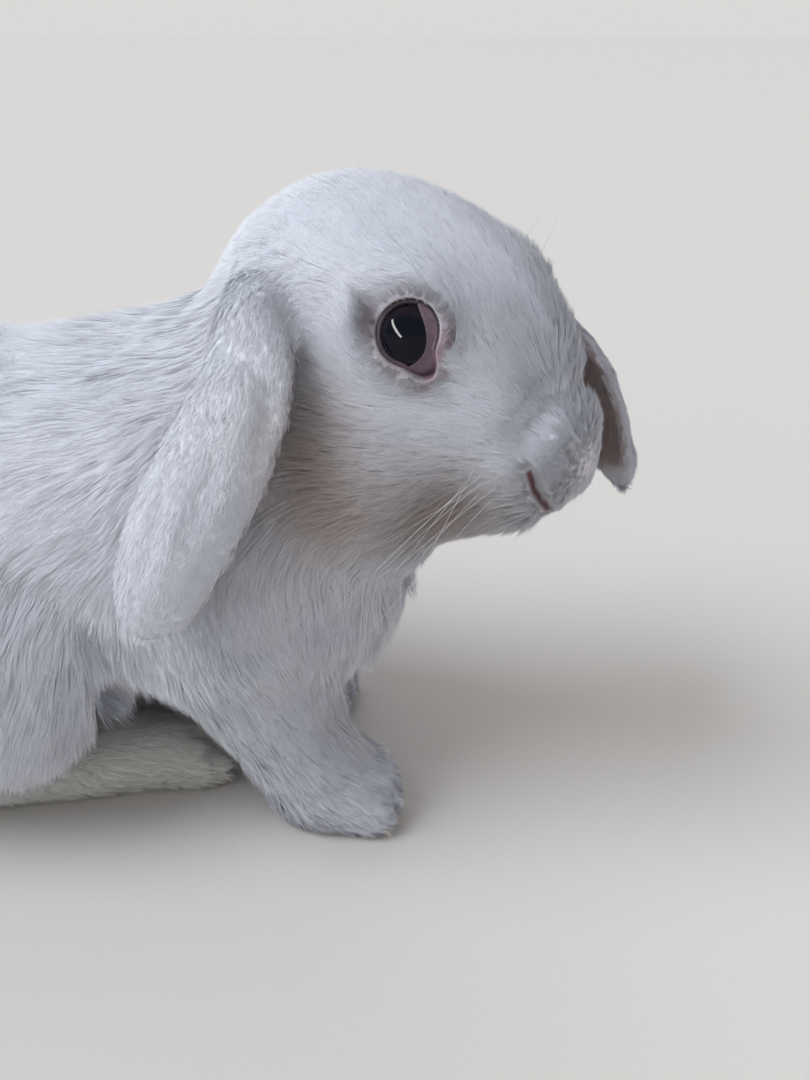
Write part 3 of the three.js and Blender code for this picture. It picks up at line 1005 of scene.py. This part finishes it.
class Roots:
    """Where the tufts of one region stand, with what the skin says there."""

    def __init__(self, kinds, apart):
        surface, parts = MADE["surface"], MADE["parts"]
        mesh = surface.mesh
        mesh.calc_loop_triangles()
        triangles = read(mesh.loop_triangles, "vertices", 3, np.int32)
        loops = read(mesh.loop_triangles, "loops", 3, np.int32)
        places = read(mesh.uv_layers["OFBake"].uv, "vector", 2)
        wanted = np.isin(parts, [i for i, node in enumerate(FLESH) if kind_of(node) in kinds])
        chosen = wanted[triangles[:, 0]]
        triangles, loops = triangles[chosen], loops[chosen]
        a, b, c = (surface.points[triangles[:, i]] for i in range(3))
        area = np.linalg.norm(np.cross(b - a, c - a), axis=1) / 2 / MM**2
        gap = MADE["wear"][triangles, APART].mean(axis=1) * apart
        total = np.cumsum(area / gap**2)
        rng = MADE["rng"]
        count = int(total[-1])
        hit = np.searchsorted(total, np.arange(count) + rng.random(count)).clip(0, len(total) - 1)
        share = np.sqrt(rng.random(count)), rng.random(count)
        weights = np.stack((1 - share[0], share[0] * (1 - share[1]), share[0] * share[1]), 1)
        self.weights, self.corners, self.loops = weights, triangles[hit], loops[hit]
        self.places = np.einsum("ij,ijk->ik", weights, places[self.loops])
        self.points = self.read(surface.points)
        self.normals = unit(self.read(surface.normals))
        lie = self.read(MADE["lie"])
        self.lie = unit(lie - np.sum(lie * self.normals, axis=1, keepdims=True) * self.normals)
        self.wear = self.read(MADE["wear"])
        self.marks = {name: self.read(values) for name, values in MADE["marks"].items()}

    def read(self, values):
        if values.ndim == 1:
            return np.sum(values[self.corners] * self.weights, axis=1)
        return np.einsum("ij,ijk->ik", self.weights, values[self.corners])

    def keep(self, wanted):
        for name in ("weights", "corners", "loops", "places", "points", "normals", "lie", "wear"):
            setattr(self, name, getattr(self, name)[wanted])
        self.marks = {name: values[wanted] for name, values in self.marks.items()}


# How far hair keeps off the floor, the opening of an eye, its corner and the lips, in mm.
OFF_FLOOR, OFF_EYE, TIP_OFF_EYE, OFF_CORNER, OFF_LIPS = 0.8, 1.3, 1.0, 1.1, 1.0
BEFORE_EYE = 2.5  # how far before the eyeball hair belongs to another part, in mm


def clear_of_openings(roots):
    """True where hair may grow: not in an eye, over it, in the mouth, nor under a sole."""
    grows = (roots.marks["mouth"] < 0.35) & (roots.points[:, 2] > CAD_BOX[0].z + OFF_FLOOR * MM)
    tips = roots.points + roots.lie * roots.wear[:, [LENGTH]] * MM
    for sign, side in zip(SIGNS, SIDES):
        height, gap, edge, _ = eye_view(roots.points, side)
        _, tip_gap, tip_edge, _ = eye_view(tips, side)
        outward = unit(roots.points - middle("eye_" + side) - height[:, None] * eye_axes(side)[1] * MM)
        wall = (np.sum(roots.normals * outward, axis=1) < -0.2) & (gap < 11)
        corner, _ = off_path(roots.points, eye_corner(side))
        inside = (gap < edge + OFF_EYE) | (tip_gap < tip_edge + TIP_OFF_EYE) | wall | (corner < OFF_CORNER)
        grows &= ~((height > 0) & (height < EYE_RADIUS + BEFORE_EYE) & inside)
        slit = on_skin(MADE["surface"].points, mirrored(MOUTH_SLIT, sign))
        grows &= off_path(roots.points, slit)[0] > OFF_LIPS
    return grows


def turned(flat, way, ahead, above):
    """How many degrees points before an eye lie off one way round it: 0 is forward and 90 is up."""
    turn = np.degrees(np.arctan2(flat @ above, flat @ ahead))
    return (turn - way + 180) % 360 - 180


def eye_corner(side):
    """Places down the front rim of an eye into its corner, on the skin."""
    centre, look, ahead, above = eye_axes(side)
    places = ((6.6, 5.6, 3.6), (6.2, 7.0, 0.6), (5.6, 7.9, -2.6), (5.0, 8.1, -5.8))
    path = [centre + MM * np.dot(place, (look, ahead, above)) for place in places]
    return on_skin(MADE["surface"].points, path)


def lock_tips(roots, tips, size, rng):
    """The tip each tuft leans to: that of the nearest of a few chosen tufts, size mm apart."""
    spacing = roots.wear[:, APART].mean()
    chosen = rng.permutation(len(tips))[: max(1, int(len(tips) * (spacing / size) ** 2))]
    tree = KDTree(len(chosen))
    for i in chosen:
        tree.insert(roots.points[i], i)
    tree.balance()
    return tips[[tree.find(point)[1] for point in roots.points]]


TUFT_REACH = (0.85, 1.1)  # shortest and longest tuft, as shares of the planned length
HAIR_REACH = (0.7, 1.08)  # shortest and longest hair, as shares of its tuft


def grow_tufts(roots, settings, hairs):
    """The three corners of every hair of every tuft, and the normal that each hair is shaded with."""
    rng = MADE["rng"]
    count = len(roots.points)
    side = np.cross(roots.normals, roots.lie)
    depth, length, apart, width, gather = (roots.wear[:, i] for i in range(5))
    length = length * settings.length * rng.uniform(*TUFT_REACH, count)
    loose = np.clip(length / 10, 0.25, 1)
    rise = np.clip(depth / length, 0.05, 0.9) * (1 + 0.15 * loose * rng.uniform(-1, 1, count))
    tuft_tip = roots.points + MM * length[:, None] * (roots.lie + roots.normals * rise[:, None])
    shared = lock_tips(roots, tuft_tip, settings.lock / MM, rng)
    close = np.exp(-(np.linalg.norm(shared - tuft_tip, axis=1) / (length * MM * 0.8)) ** 2)
    tuft_tip = tuft_tip + (shared - tuft_tip) * (0.55 * gather * close)[:, None]

    shape = (count, hairs, 1)
    angle, reach = rng.uniform(0, 2 * math.pi, shape), np.sqrt(rng.random(shape))
    spread = reach * apart[:, None, None] * 0.85 * MM
    lie, up, across = roots.lie[:, None], roots.normals[:, None], side[:, None]
    foot = roots.points[:, None] + spread * (np.cos(angle) * lie + np.sin(angle) * across) - 0.25 * MM * up
    own = rng.uniform(*HAIR_REACH, shape)
    heading = tuft_tip[:, None] - roots.points[:, None]
    stray = rng.normal(0, 0.07, shape) * across + rng.normal(0, 0.03, shape) * up
    tip_free = foot + heading * own + stray * length[:, None, None] * MM
    tip = tip_free + (tuft_tip[:, None] - tip_free) * (gather[:, None, None] * rng.uniform(0.5, 1.0, shape))
    tip[..., 2] = np.maximum(tip[..., 2], CAD_BOX[0].z + 0.2 * MM)

    run = unit(tip - foot)
    flat = unit(np.cross(run, up + rng.normal(0, 0.3, (count, hairs, 3))))
    flat = flat * np.where(np.sum(np.cross(flat, run) * up, axis=2, keepdims=True) < 0, -1, 1)
    half = width[:, None, None] * MM * 0.5 * rng.uniform(0.6, 1.2, shape)
    shading = unit(up + np.cross(flat, run) * 0.12)
    return np.stack((foot - flat * half, foot + flat * half, tip), 2), shading


PATCH = 0.003
MOST_TRIANGLES = 195_000


def build_coat(name, kinds, slot, settings, hairs):
    """The tufts of one region, as joined meshes of under 200,000 triangles each."""
    roots = Roots(kinds, settings.spacing * (1.0))
    roots.keep(clear_of_openings(roots))
    roots.keep(np.argsort(roots.points[:, 0]))
    strands, shading = grow_tufts(roots, settings, hairs)
    rng = MADE["rng"]
    shared = 0.55 * np.clip(roots.wear[:, [LENGTH]] / 10, 0.2, 1)
    tone = shared * rng.random((len(roots.points), 1)) + (1 - shared) * rng.random((len(roots.points), hairs))
    material = MADE.setdefault("coat finish", coat_finish(settings.white))
    along = np.array((0.0, 0.0, 1.0))
    across = (np.arange(hairs)[:, None] + (0.0, 1.0, 0.5)) / hairs
    local = PATCH * (np.stack((across.ravel(), np.tile(along, hairs)), 1) - 0.5)
    pieces = math.ceil(len(strands) * hairs / MOST_TRIANGLES)
    for i, group in enumerate(np.array_split(np.arange(len(strands)), pieces)):
        triangles = np.arange(len(group) * hairs * 3).reshape(-1, 3)
        mesh = triangle_mesh(f"{name}_{i + 1}", strands[group].reshape(-1, 3), triangles)
        for mark, values in roots.marks.items():
            if mark != "mouth":
                paint(mesh, mark, np.repeat(values[group], hairs * 3))
        paint(mesh, "tone", np.repeat(tone[group].ravel(), 3))
        paint(mesh, "along", np.tile(along, len(group) * hairs))
        places = (roots.places[group][:, None] + local[None]).reshape(-1, 2).astype(np.float32)
        mesh.uv_layers.new(name="OFBake").uv.foreach_set("vector", places.ravel())
        piece = make_object(mesh.name, mesh, material)
        mesh.normals_split_custom_set_from_vertices(np.repeat(shading[group].reshape(-1, 3), 3, axis=0))
        settle(piece, slot)


# ---------------------------------------------------------------- eyes


def ball_points(side, polar, turn, radius):
    """Points at a polar angle from an eye's look and a turn from forward to up, in degrees and mm."""
    centre, look, ahead, above = eye_axes(side)
    polar, turn = np.radians(polar)[..., None], np.radians(turn)[..., None]
    ray = np.cos(polar) * look + np.sin(polar) * (np.cos(turn) * ahead + np.sin(turn) * above)
    return centre + MM * np.asarray(radius)[..., None] * ray


def opening(turn):
    """How far the lids stand open at each turn, in degrees, with a corner low in front."""
    corner = np.exp(-(((turn + 37 + 180) % 360 - 180) / 24.0) ** 2)
    turn = np.radians(turn)
    width = 5.35 - 0.5 * np.cos(turn) + 0.75 * np.sin(turn) - 0.3 * np.cos(2 * turn) + 3.9 * corner
    return np.degrees(np.arcsin(width / EYE_RADIUS))


def build_eyes(settings):
    """Both eyeballs, each with a slightly raised cornea."""
    material = eye_finish(settings.brown)
    rows, columns = 49, 64
    polar, turn = np.meshgrid(np.linspace(0.4, 179.6, rows), np.linspace(0, 360, columns, endpoint=False),
                              indexing="ij")
    cornea = settings.bulge / MM * (1 - ramp(polar, 25, 46))
    for side in SIDES:
        points = ball_points(side, polar, turn, EYE_RADIUS - 0.05 + cornea).reshape(-1, 3)
        triangles = grid_triangles(rows, columns, True)
        front, back = np.arange(columns), np.arange(columns) + (rows - 1) * columns
        fan = [fan_triangles(ring) for ring in (front, back[::-1])]
        mesh = triangle_mesh("eyeball_" + side, points, np.concatenate((triangles, *fan)))
        paint(mesh, "polar", polar.ravel() / 90)
        settle(tidy_faces(make_object(mesh.name, mesh, material)), "eye", "eye_" + side)


def tidy_faces(piece):
    """Turns every face of a closed piece outward."""
    work = bmesh.new()
    work.from_mesh(piece.data)
    bmesh.ops.recalc_face_normals(work, faces=work.faces)
    work.to_mesh(piece.data)
    work.free()
    return piece


# The lid ring's profile: degrees out from the opening, and mm from the eye's middle.
LID_STEPS = ((0.0, 8.6), (-0.3, 9.2), (0.8, 9.5), (3.0, 9.7),
             (6.0, 9.7), (9.0, 9.5), (12.0, 9.1), (12.0, 8.5))
LID_SHADE = (1.0, 1.0, 1.0, 1.0, 0.9, 0.8, 0.7, 0.7, 1.0)  # how dark each step is, and the first again
LID_COLUMNS = 96
PINK_TURN, PINK_WIDTH = -25, 48.0  # degrees: where the lid is pink, and how widely


def build_lids():
    """A rounded lid ring round each eye and the pale third lid in its front corner."""
    material = lid_finish()
    turn = np.linspace(0, 360, LID_COLUMNS, endpoint=False)
    pink = np.exp(-(((turn - PINK_TURN + 180) % 360 - 180) / PINK_WIDTH) ** 2)
    for side in SIDES:
        rings = [ball_points(side, opening(turn) + out, turn, np.full(LID_COLUMNS, radius))
                 for out, radius in (*LID_STEPS, LID_STEPS[0])]
        triangles = grid_triangles(len(rings), LID_COLUMNS, True)
        mesh = triangle_mesh("lids_" + side, np.concatenate(rings), triangles)
        paint(mesh, "edge", (np.array(LID_SHADE)[:, None] * (1 - 0.85 * pink)).ravel())
        piece = make_object(mesh.name, mesh, material)
        weld(piece)
        settle(tidy_faces(piece), "ear")
        build_third_lid(side, material)


def weld(piece):
    """Joins points that lie together."""
    work = bmesh.new()
    work.from_mesh(piece.data)
    bmesh.ops.remove_doubles(work, verts=work.verts, dist=0.001 * MM)
    work.to_mesh(piece.data)
    work.free()


THIRD_LID = (9, 41)  # rows and columns of the crescent's grid
THIRD_LID_SPAN = (-7.4, 6.9)  # its lower and upper end, in mm from the eye's middle
THIRD_LID_BACK = 8.7  # how far its hidden side lies from the eye's middle, in mm


def build_third_lid(side, material):
    """A crescent of pale membrane over the front corner of the eye."""
    centre, look, ahead, above = eye_axes(side)
    rows, columns = THIRD_LID
    up = np.linspace(*THIRD_LID_SPAN, columns)
    inner = 3.8 - 0.085 * (up + 1.3) ** 2
    outer = np.sqrt(np.maximum(8.4**2 - up**2, 0.5))
    forward = inner + (outer - inner) * np.linspace(0, 1, rows)[:, None] ** 1.3
    up = np.tile(up, (rows, 1))
    lift = np.full((rows, 1), 9.38)
    lift[0], lift[1] = 9.04, 9.28
    points = []
    for radius in (lift, np.full((rows, 1), THIRD_LID_BACK)):
        height = np.sqrt(np.maximum(radius**2 - forward**2 - up**2, 1.0))
        way = height[..., None] * look + forward[..., None] * ahead + up[..., None] * above
        points.append((centre + MM * way).reshape(-1, 3))
    grid, offset = grid_triangles(rows, columns, False), rows * columns
    first, last = np.arange(columns), np.arange(offset - 1, offset - columns, -1)
    right, left = columns * np.arange(2, rows) - 1, columns * np.arange(rows - 1, 0, -1)
    rim = np.concatenate((first, right, last, left))
    after = np.roll(rim, -1)
    lower, upper = (rim, after, after + offset), (rim, after + offset, rim + offset)
    triangles = np.concatenate((grid, grid[:, ::-1] + offset, np.stack(lower, 1), np.stack(upper, 1)))
    mesh = triangle_mesh("third_lid_" + side, np.concatenate(points), triangles)
    edge = np.repeat(np.linspace(0.95, 0, rows) ** 1.6, columns)
    paint(mesh, "edge", np.concatenate((edge, np.zeros(offset))))
    settle(tidy_faces(make_object(mesh.name, mesh, material)), "ear")


# ---------------------------------------------------------------- whiskers and claws


def tapered(path, radii, sides=6):
    """Points and triangles of a thin closed taper along a path."""
    path = np.asarray(path)
    along = unit(np.gradient(path, axis=0))
    first = unit(np.cross(along, UP + 0.01))
    second = np.cross(along, first)
    turn = np.linspace(0, 2 * math.pi, sides, endpoint=False)
    ring = np.cos(turn)[None, :, None] * first[:, None] + np.sin(turn)[None, :, None] * second[:, None]
    points = (path[:, None] + ring * np.asarray(radii)[:, None, None]).reshape(-1, 3)
    triangles = grid_triangles(len(path), sides, True)
    last = (len(path) - 1) * sides
    root, tip = (fan_triangles(start + np.arange(sides)) for start in (0, last))
    return points, np.concatenate((triangles, root[:, ::-1], tip))


def join_tapers(name, tapers, material):
    """Many tapers as one mesh, with how far along each point is."""
    points, triangles, along, first = [], [], [], 0
    for path, radii, sides in tapers:
        own_points, own_triangles = tapered(path, radii, sides)
        points.append(own_points)
        triangles.append(own_triangles + first)
        along.append(np.repeat(np.linspace(0, 1, len(path)), sides))
        first += len(own_points)
    mesh = triangle_mesh(name, np.concatenate(points), np.concatenate(triangles))
    paint(mesh, "along", np.concatenate(along))
    return tidy_faces(make_object(name, mesh, material))


def skin_tree(surface):
    """The skin as a tree that rays can be cast on."""
    return BVHTree.FromPolygons([Vector(point) for point in surface.points],
                                [tuple(face.vertices) for face in surface.mesh.polygons])


def build_whiskers(settings):
    """Long hairs in rows on both whisker pads and a few over each eye."""
    material, tree = whisker_finish(), skin_tree(MADE["surface"])
    rng = np.random.default_rng(settings.seed)
    steps = np.linspace(0, 1, 10)
    for sign, side in zip(SIGNS, SIDES):
        tapers = []
        spots = [(43 - 3.0 * column, -2.0 - 3.0 * row) for row in range(3) for column in range(3)]
        spots += [(16.0, 27.0), (11.0, 28.5)]
        for forward, up in spots:
            brow = up > 20
            origin = on_head(forward, (24.0 if brow else 30.0) * sign, up)
            inward = unit(on_head(forward - 4, 0, up - (8 if brow else 0)) - origin)
            hit = tree.ray_cast(Vector(origin), Vector(inward))[0]
            root = np.array(hit) if hit else on_head(forward, 14.0 * sign, up)
            length = settings.length * (0.55 if brow else rng.uniform(0.65, 1.0))
            lean = rng.normal(0, 0.10, 3)
            way = unit((np.array((-0.1, 0.8 * sign, 0.9 if brow else -0.35)) + lean) @ HEAD_AXES)
            droop = -UP * 0.28 + FORWARD * -0.15
            path = root - way * MM + length * (steps[:, None] * way + steps[:, None] ** 2 * droop)
            tapers.append((path, settings.thickness * (1 - 0.85 * steps) / 2, 5))
        settle(join_tapers("whiskers_" + side, tapers, material), "coat")


def build_claws(settings):
    """Four small claws at the front of each foot."""
    material, tree = horn_finish(), skin_tree(MADE["surface"])
    steps = np.linspace(0, 1, 8)
    for node in FEET:
        ahead, side, _, (low, high) = toe_row(node)
        tapers = []
        for i in range(TOES):
            offset = low + (high - low) * (i + 0.5) / TOES
            start = middle(node) + side * offset + ahead * 40 * MM
            start[2] = settings.height
            hit = tree.ray_cast(Vector(start), Vector(-ahead))[0]
            if hit is None:
                continue
            root = np.array(hit) - ahead * 1.5 * MM
            curve = ahead * steps[:, None] + UP * (0.15 - 0.75 * steps[:, None]) * steps[:, None]
            path = root + curve * settings.length
            tapers.append((path, settings.thickness / 2 * (1 - 0.93 * steps**1.6), 8))
        settle(join_tapers("claws_" + node, tapers, material), "foot")


# ---------------------------------------------------------------- stage


LAMP_DISTANCE = 0.8  # m
KEY_WAY, FILL_WAY, RIM_WAY = (-0.75, -0.45, 0.95), (-0.55, -0.90, 0.20), (-0.3, 0.95, 0.8)


def add_lamp(name, kind, target, way, power):
    """A lamp 0.8 m off that shines on the target from one way."""
    lamp = bpy.data.lights.new(name, kind)
    lamp.energy = power
    holder = bpy.data.objects.new(name, lamp)
    bpy.context.scene.collection.objects.link(holder)
    holder.location = target + way.normalized() * LAMP_DISTANCE
    holder.rotation_euler = way.to_track_quat("Z", "Y").to_euler()
    return holder


GLINT_AT = (8.4, -3.2, 0.9)  # the glint's place along the eye's look, forward and up, in mm


def glint_way(viewpoint):
    """The spot on the right eye where the window is seen, and the way the window lies from it."""
    centre, look, ahead, above = eye_axes("right")
    out = Vector(unit(GLINT_AT[0] * look + GLINT_AT[1] * ahead + GLINT_AT[2] * above))
    spot = Vector(centre) + out * EYE_RADIUS * MM
    view = (viewpoint - spot).normalized()
    return spot, 2 * out.dot(view) * out - view


def build_stage(settings):
    """The floor, the soft lamps, the even surrounding light and the camera."""
    scene = bpy.context.scene
    scene.view_settings.view_transform = "Standard"
    floor = bpy.data.meshes.new("floor")
    work = bmesh.new()
    bmesh.ops.create_circle(work, cap_ends=True, segments=96, radius=settings.floor_size / 2)
    work.to_mesh(floor)
    work.free()
    piece = make_object("floor", floor, floor_finish(settings.floor_colour))
    piece.location.z = CAD_BOX[0].z

    target = Vector(middle("trunk") + middle("head")) / 2
    level = settings.sky * np.array(settings.sky_colour)
    for name, way, power, colour in (
        ("key", KEY_WAY, settings.key, settings.key_colour),
        ("fill", FILL_WAY, settings.fill, (1, 1, 1)),
        ("rim", RIM_WAY, settings.rim, (1, 1, 1)),
    ):
        way = Vector(way).normalized()
        lamp = add_lamp(name, "SUN", target, way, power)
        lamp.data.angle, lamp.data.color, lamp.visible_glossy = settings.softness, colour, False
        level += power * way.z / math.pi * np.array(colour)
    glint = add_lamp("glint", "AREA", *glint_way(Vector(settings.camera_place)), settings.glint)
    glint.data.shape, glint.data.size, glint.data.size_y = "RECTANGLE", 0.08, 0.9
    glint.visible_diffuse = False
    glint.rotation_euler.rotate_axis("Z", settings.glint_turn)

    studio = Finish("studio", bpy.data.worlds.new("studio"))
    light = studio.add("Background", {}, {"Color": settings.sky_colour, "Strength": settings.sky})
    seen = studio.add("Background", {}, {"Color": level * settings.floor_colour, "Strength": 1.0})
    rays = studio.add("LightPath", {}, {}, "Is Camera Ray")
    scene.world = studio.close(studio.add("MixShader", {}, {0: rays, 1: light, 2: seen}), "OutputWorld")

    lens = bpy.data.cameras.new("camera")
    lens.sensor_width, lens.lens = 36.0, settings.lens
    camera = bpy.data.objects.new("camera", lens)
    scene.collection.objects.link(camera)
    camera.location = settings.camera_place
    pitch, turn = settings.camera_pitch, settings.camera_turn
    camera.rotation_euler = (math.pi / 2 - pitch, 0.0, turn)
    lens.clip_start, lens.clip_end = 0.01, 100.0
    scene.camera = camera


# ---------------------------------------------------------------- settings, operators and panel


class SkinSettings(bpy.types.PropertyGroup):
    square: bpy.props.FloatProperty(
        name="Square", description="Size of the skin's squares", default=0.0013, unit="LENGTH")
    seed: bpy.props.IntProperty(name="Seed", description="Start of the random draws", default=7)
    white: bpy.props.FloatVectorProperty(
        name="White", description="Colour of the white parts", default=(0.80, 0.815, 0.875), subtype="COLOR")


class CoatSettings(bpy.types.PropertyGroup):
    white: bpy.props.FloatVectorProperty(
        name="White", description="Colour of the white hair", default=(0.80, 0.815, 0.875), subtype="COLOR")
    length: bpy.props.FloatProperty(
        name="Length", description="Hair length as a share of the planned one", default=1.0, subtype="FACTOR")
    spacing: bpy.props.FloatProperty(
        name="Spacing", description="Tuft spacing as a share of the planned one", default=1.0,
        subtype="FACTOR")
    lock: bpy.props.FloatProperty(
        name="Lock", description="Distance between the locks that tufts lean to", default=0.006,
        unit="LENGTH")


class EyeSettings(bpy.types.PropertyGroup):
    brown: bpy.props.FloatVectorProperty(
        name="Iris", description="Colour of the iris", default=(0.011, 0.008, 0.014), subtype="COLOR")
    bulge: bpy.props.FloatProperty(
        name="Cornea", description="How far the cornea stands out", default=0.0003, unit="LENGTH")


class WhiskerSettings(bpy.types.PropertyGroup):
    seed: bpy.props.IntProperty(name="Seed", description="Start of the random draws", default=3)
    length: bpy.props.FloatProperty(
        name="Length", description="Longest whisker", default=0.038, unit="LENGTH")
    thickness: bpy.props.FloatProperty(
        name="Thickness", description="Whisker thickness at its root", default=0.00012, unit="LENGTH")


class ClawSettings(bpy.types.PropertyGroup):
    length: bpy.props.FloatProperty(name="Length", description="Claw length", default=0.0045, unit="LENGTH")
    thickness: bpy.props.FloatProperty(
        name="Thickness", description="Claw thickness at its root", default=0.0019, unit="LENGTH")
    height: bpy.props.FloatProperty(
        name="Height", description="Height of a claw's root over the floor", default=0.0035, unit="LENGTH")


class StageSettings(bpy.types.PropertyGroup):
    floor_size: bpy.props.FloatProperty(name="Floor", description="Floor width", default=60.0, unit="LENGTH")
    floor_colour: bpy.props.FloatVectorProperty(
        name="Floor colour", description="Colour of the floor", default=(0.66, 0.63, 0.60), subtype="COLOR")
    sky_colour: bpy.props.FloatVectorProperty(
        name="Surroundings", description="Colour of the surrounding light", default=(0.97, 0.98, 1.0),
        subtype="COLOR")
    sky: bpy.props.FloatProperty(
        name="Surrounding light", description="Strength of the surrounding light", default=0.46)
    key: bpy.props.FloatProperty(name="Key", description="Strength of the main lamp", default=2.4)
    key_colour: bpy.props.FloatVectorProperty(
        name="Key colour", description="Colour of the main lamp", default=(0.90, 0.95, 1.0), subtype="COLOR")
    fill: bpy.props.FloatProperty(name="Fill", description="Strength of the fill lamp", default=0.45)
    rim: bpy.props.FloatProperty(name="Rim", description="Strength of the lamp behind", default=0.45)
    softness: bpy.props.FloatProperty(
        name="Softness", description="How wide the lamps look", default=math.radians(42.0), unit="ROTATION")
    glint: bpy.props.FloatProperty(
        name="Glint", description="The window seen in the eye", default=8.0, unit="POWER")
    glint_turn: bpy.props.FloatProperty(
        name="Glint turn", description="How far that window leans", default=math.radians(48.0),
        unit="ROTATION")
    lens: bpy.props.FloatProperty(name="Lens", description="Focal length in mm", default=36.67)
    camera_place: bpy.props.FloatVectorProperty(
        name="Camera", description="Where the camera stands", default=(0.14499, -0.23254, 0.182),
        subtype="TRANSLATION", unit="LENGTH")
    camera_pitch: bpy.props.FloatProperty(
        name="Pitch", description="How far the camera looks down", default=math.radians(25.0),
        unit="ROTATION")
    camera_turn: bpy.props.FloatProperty(
        name="Turn", description="How far the camera is turned to the left", default=math.radians(12.0),
        unit="ROTATION")


SETTINGS = {
    "skin": SkinSettings,
    "coat": CoatSettings,
    "eye": EyeSettings,
    "whisker": WhiskerSettings,
    "claw": ClawSettings,
    "stage": StageSettings,
}


def settings_of(context, name):
    return getattr(context.scene, "lop_" + name)


class LOP_OT_stage(bpy.types.Operator):
    """Make the floor, the lamps and the camera"""

    bl_idname = "lop.stage"
    bl_label = "Stage"

    def execute(self, context):
        build_stage(settings_of(context, "stage"))
        return {"FINISHED"}


class LOP_OT_skin(bpy.types.Operator):
    """Make the one skin over the flesh solids"""

    bl_idname = "lop.skin"
    bl_label = "Skin"

    def execute(self, context):
        build_skin(settings_of(context, "skin"))
        return {"FINISHED"}


class LOP_OT_eyes(bpy.types.Operator):
    """Make both eyeballs"""

    bl_idname = "lop.eyes"
    bl_label = "Eyes"

    def execute(self, context):
        build_eyes(settings_of(context, "eye"))
        return {"FINISHED"}


class LOP_OT_lids(bpy.types.Operator):
    """Make the lid rings and third lids"""

    bl_idname = "lop.lids"
    bl_label = "Lids"

    def execute(self, context):
        build_lids()
        return {"FINISHED"}


class LOP_OT_coat_head(bpy.types.Operator):
    """Grow the short coat of the head"""

    bl_idname = "lop.coat_head"
    bl_label = "Head coat"

    def execute(self, context):
        build_coat("coat_head", ("head",), "coat", settings_of(context, "coat"), 24)
        return {"FINISHED"}


class LOP_OT_coat_ears(bpy.types.Operator):
    """Grow the short coat of the ears"""

    bl_idname = "lop.coat_ears"
    bl_label = "Ear coat"

    def execute(self, context):
        build_coat("coat_ears", ("ear",), "ear", settings_of(context, "coat"), 20)
        return {"FINISHED"}


class LOP_OT_coat_body(bpy.types.Operator):
    """Grow the long coat of neck, trunk, haunches and tail"""

    bl_idname = "lop.coat_body"
    bl_label = "Body coat"

    def execute(self, context):
        settings = settings_of(context, "coat")
        build_coat("coat_body", ("trunk", "neck", "hind_leg", "tail"), "coat", settings, 22)
        return {"FINISHED"}


class LOP_OT_coat_legs(bpy.types.Operator):
    """Grow the coat of the forelegs"""

    bl_idname = "lop.coat_legs"
    bl_label = "Foreleg coat"

    def execute(self, context):
        build_coat("coat_legs", ("fore_leg",), "coat", settings_of(context, "coat"), 22)
        return {"FINISHED"}


class LOP_OT_coat_feet(bpy.types.Operator):
    """Grow the short coat of the paws and feet"""

    bl_idname = "lop.coat_feet"
    bl_label = "Foot coat"

    def execute(self, context):
        build_coat("coat_feet", ("fore_paw", "hind_foot"), "foot", settings_of(context, "coat"), 20)
        return {"FINISHED"}


class LOP_OT_whiskers(bpy.types.Operator):
    """Make the whiskers"""

    bl_idname = "lop.whiskers"
    bl_label = "Whiskers"

    def execute(self, context):
        build_whiskers(settings_of(context, "whisker"))
        return {"FINISHED"}


class LOP_OT_claws(bpy.types.Operator):
    """Make the claws"""

    bl_idname = "lop.claws"
    bl_label = "Claws"

    def execute(self, context):
        build_claws(settings_of(context, "claw"))
        return {"FINISHED"}


OPERATORS = (
    LOP_OT_stage,
    LOP_OT_skin,
    LOP_OT_eyes,
    LOP_OT_lids,
    LOP_OT_coat_head,
    LOP_OT_coat_ears,
    LOP_OT_coat_body,
    LOP_OT_coat_legs,
    LOP_OT_coat_feet,
    LOP_OT_whiskers,
    LOP_OT_claws,
)


class LOP_PT_panel(bpy.types.Panel):
    """Lists the pieces and their settings"""

    bl_idname = "LOP_PT_panel"
    bl_label = "Lop rabbit"
    bl_space_type = "VIEW_3D"
    bl_region_type = "UI"
    bl_category = "Lop rabbit"

    def draw(self, context):
        for operator in OPERATORS:
            self.layout.operator(operator.bl_idname)
        for name, group in SETTINGS.items():
            box = self.layout.box()
            box.label(text=name.capitalize())
            for field in group.__annotations__:
                box.prop(settings_of(context, name), field)


def register():
    for kind in (*SETTINGS.values(), *OPERATORS, LOP_PT_panel):
        bpy.utils.register_class(kind)
    for name, group in SETTINGS.items():
        setattr(bpy.types.Scene, "lop_" + name, bpy.props.PointerProperty(type=group))


def unregister():
    for name in SETTINGS:
        delattr(bpy.types.Scene, "lop_" + name)
    for kind in reversed((*SETTINGS.values(), *OPERATORS, LOP_PT_panel)):
        bpy.utils.unregister_class(kind)


def main():
    """Makes every piece in order."""
    register()
    for operator in OPERATORS:
        group, name = operator.bl_idname.split(".")
        getattr(getattr(bpy.ops, group), name)()


if __name__ == "__main__":
    main()
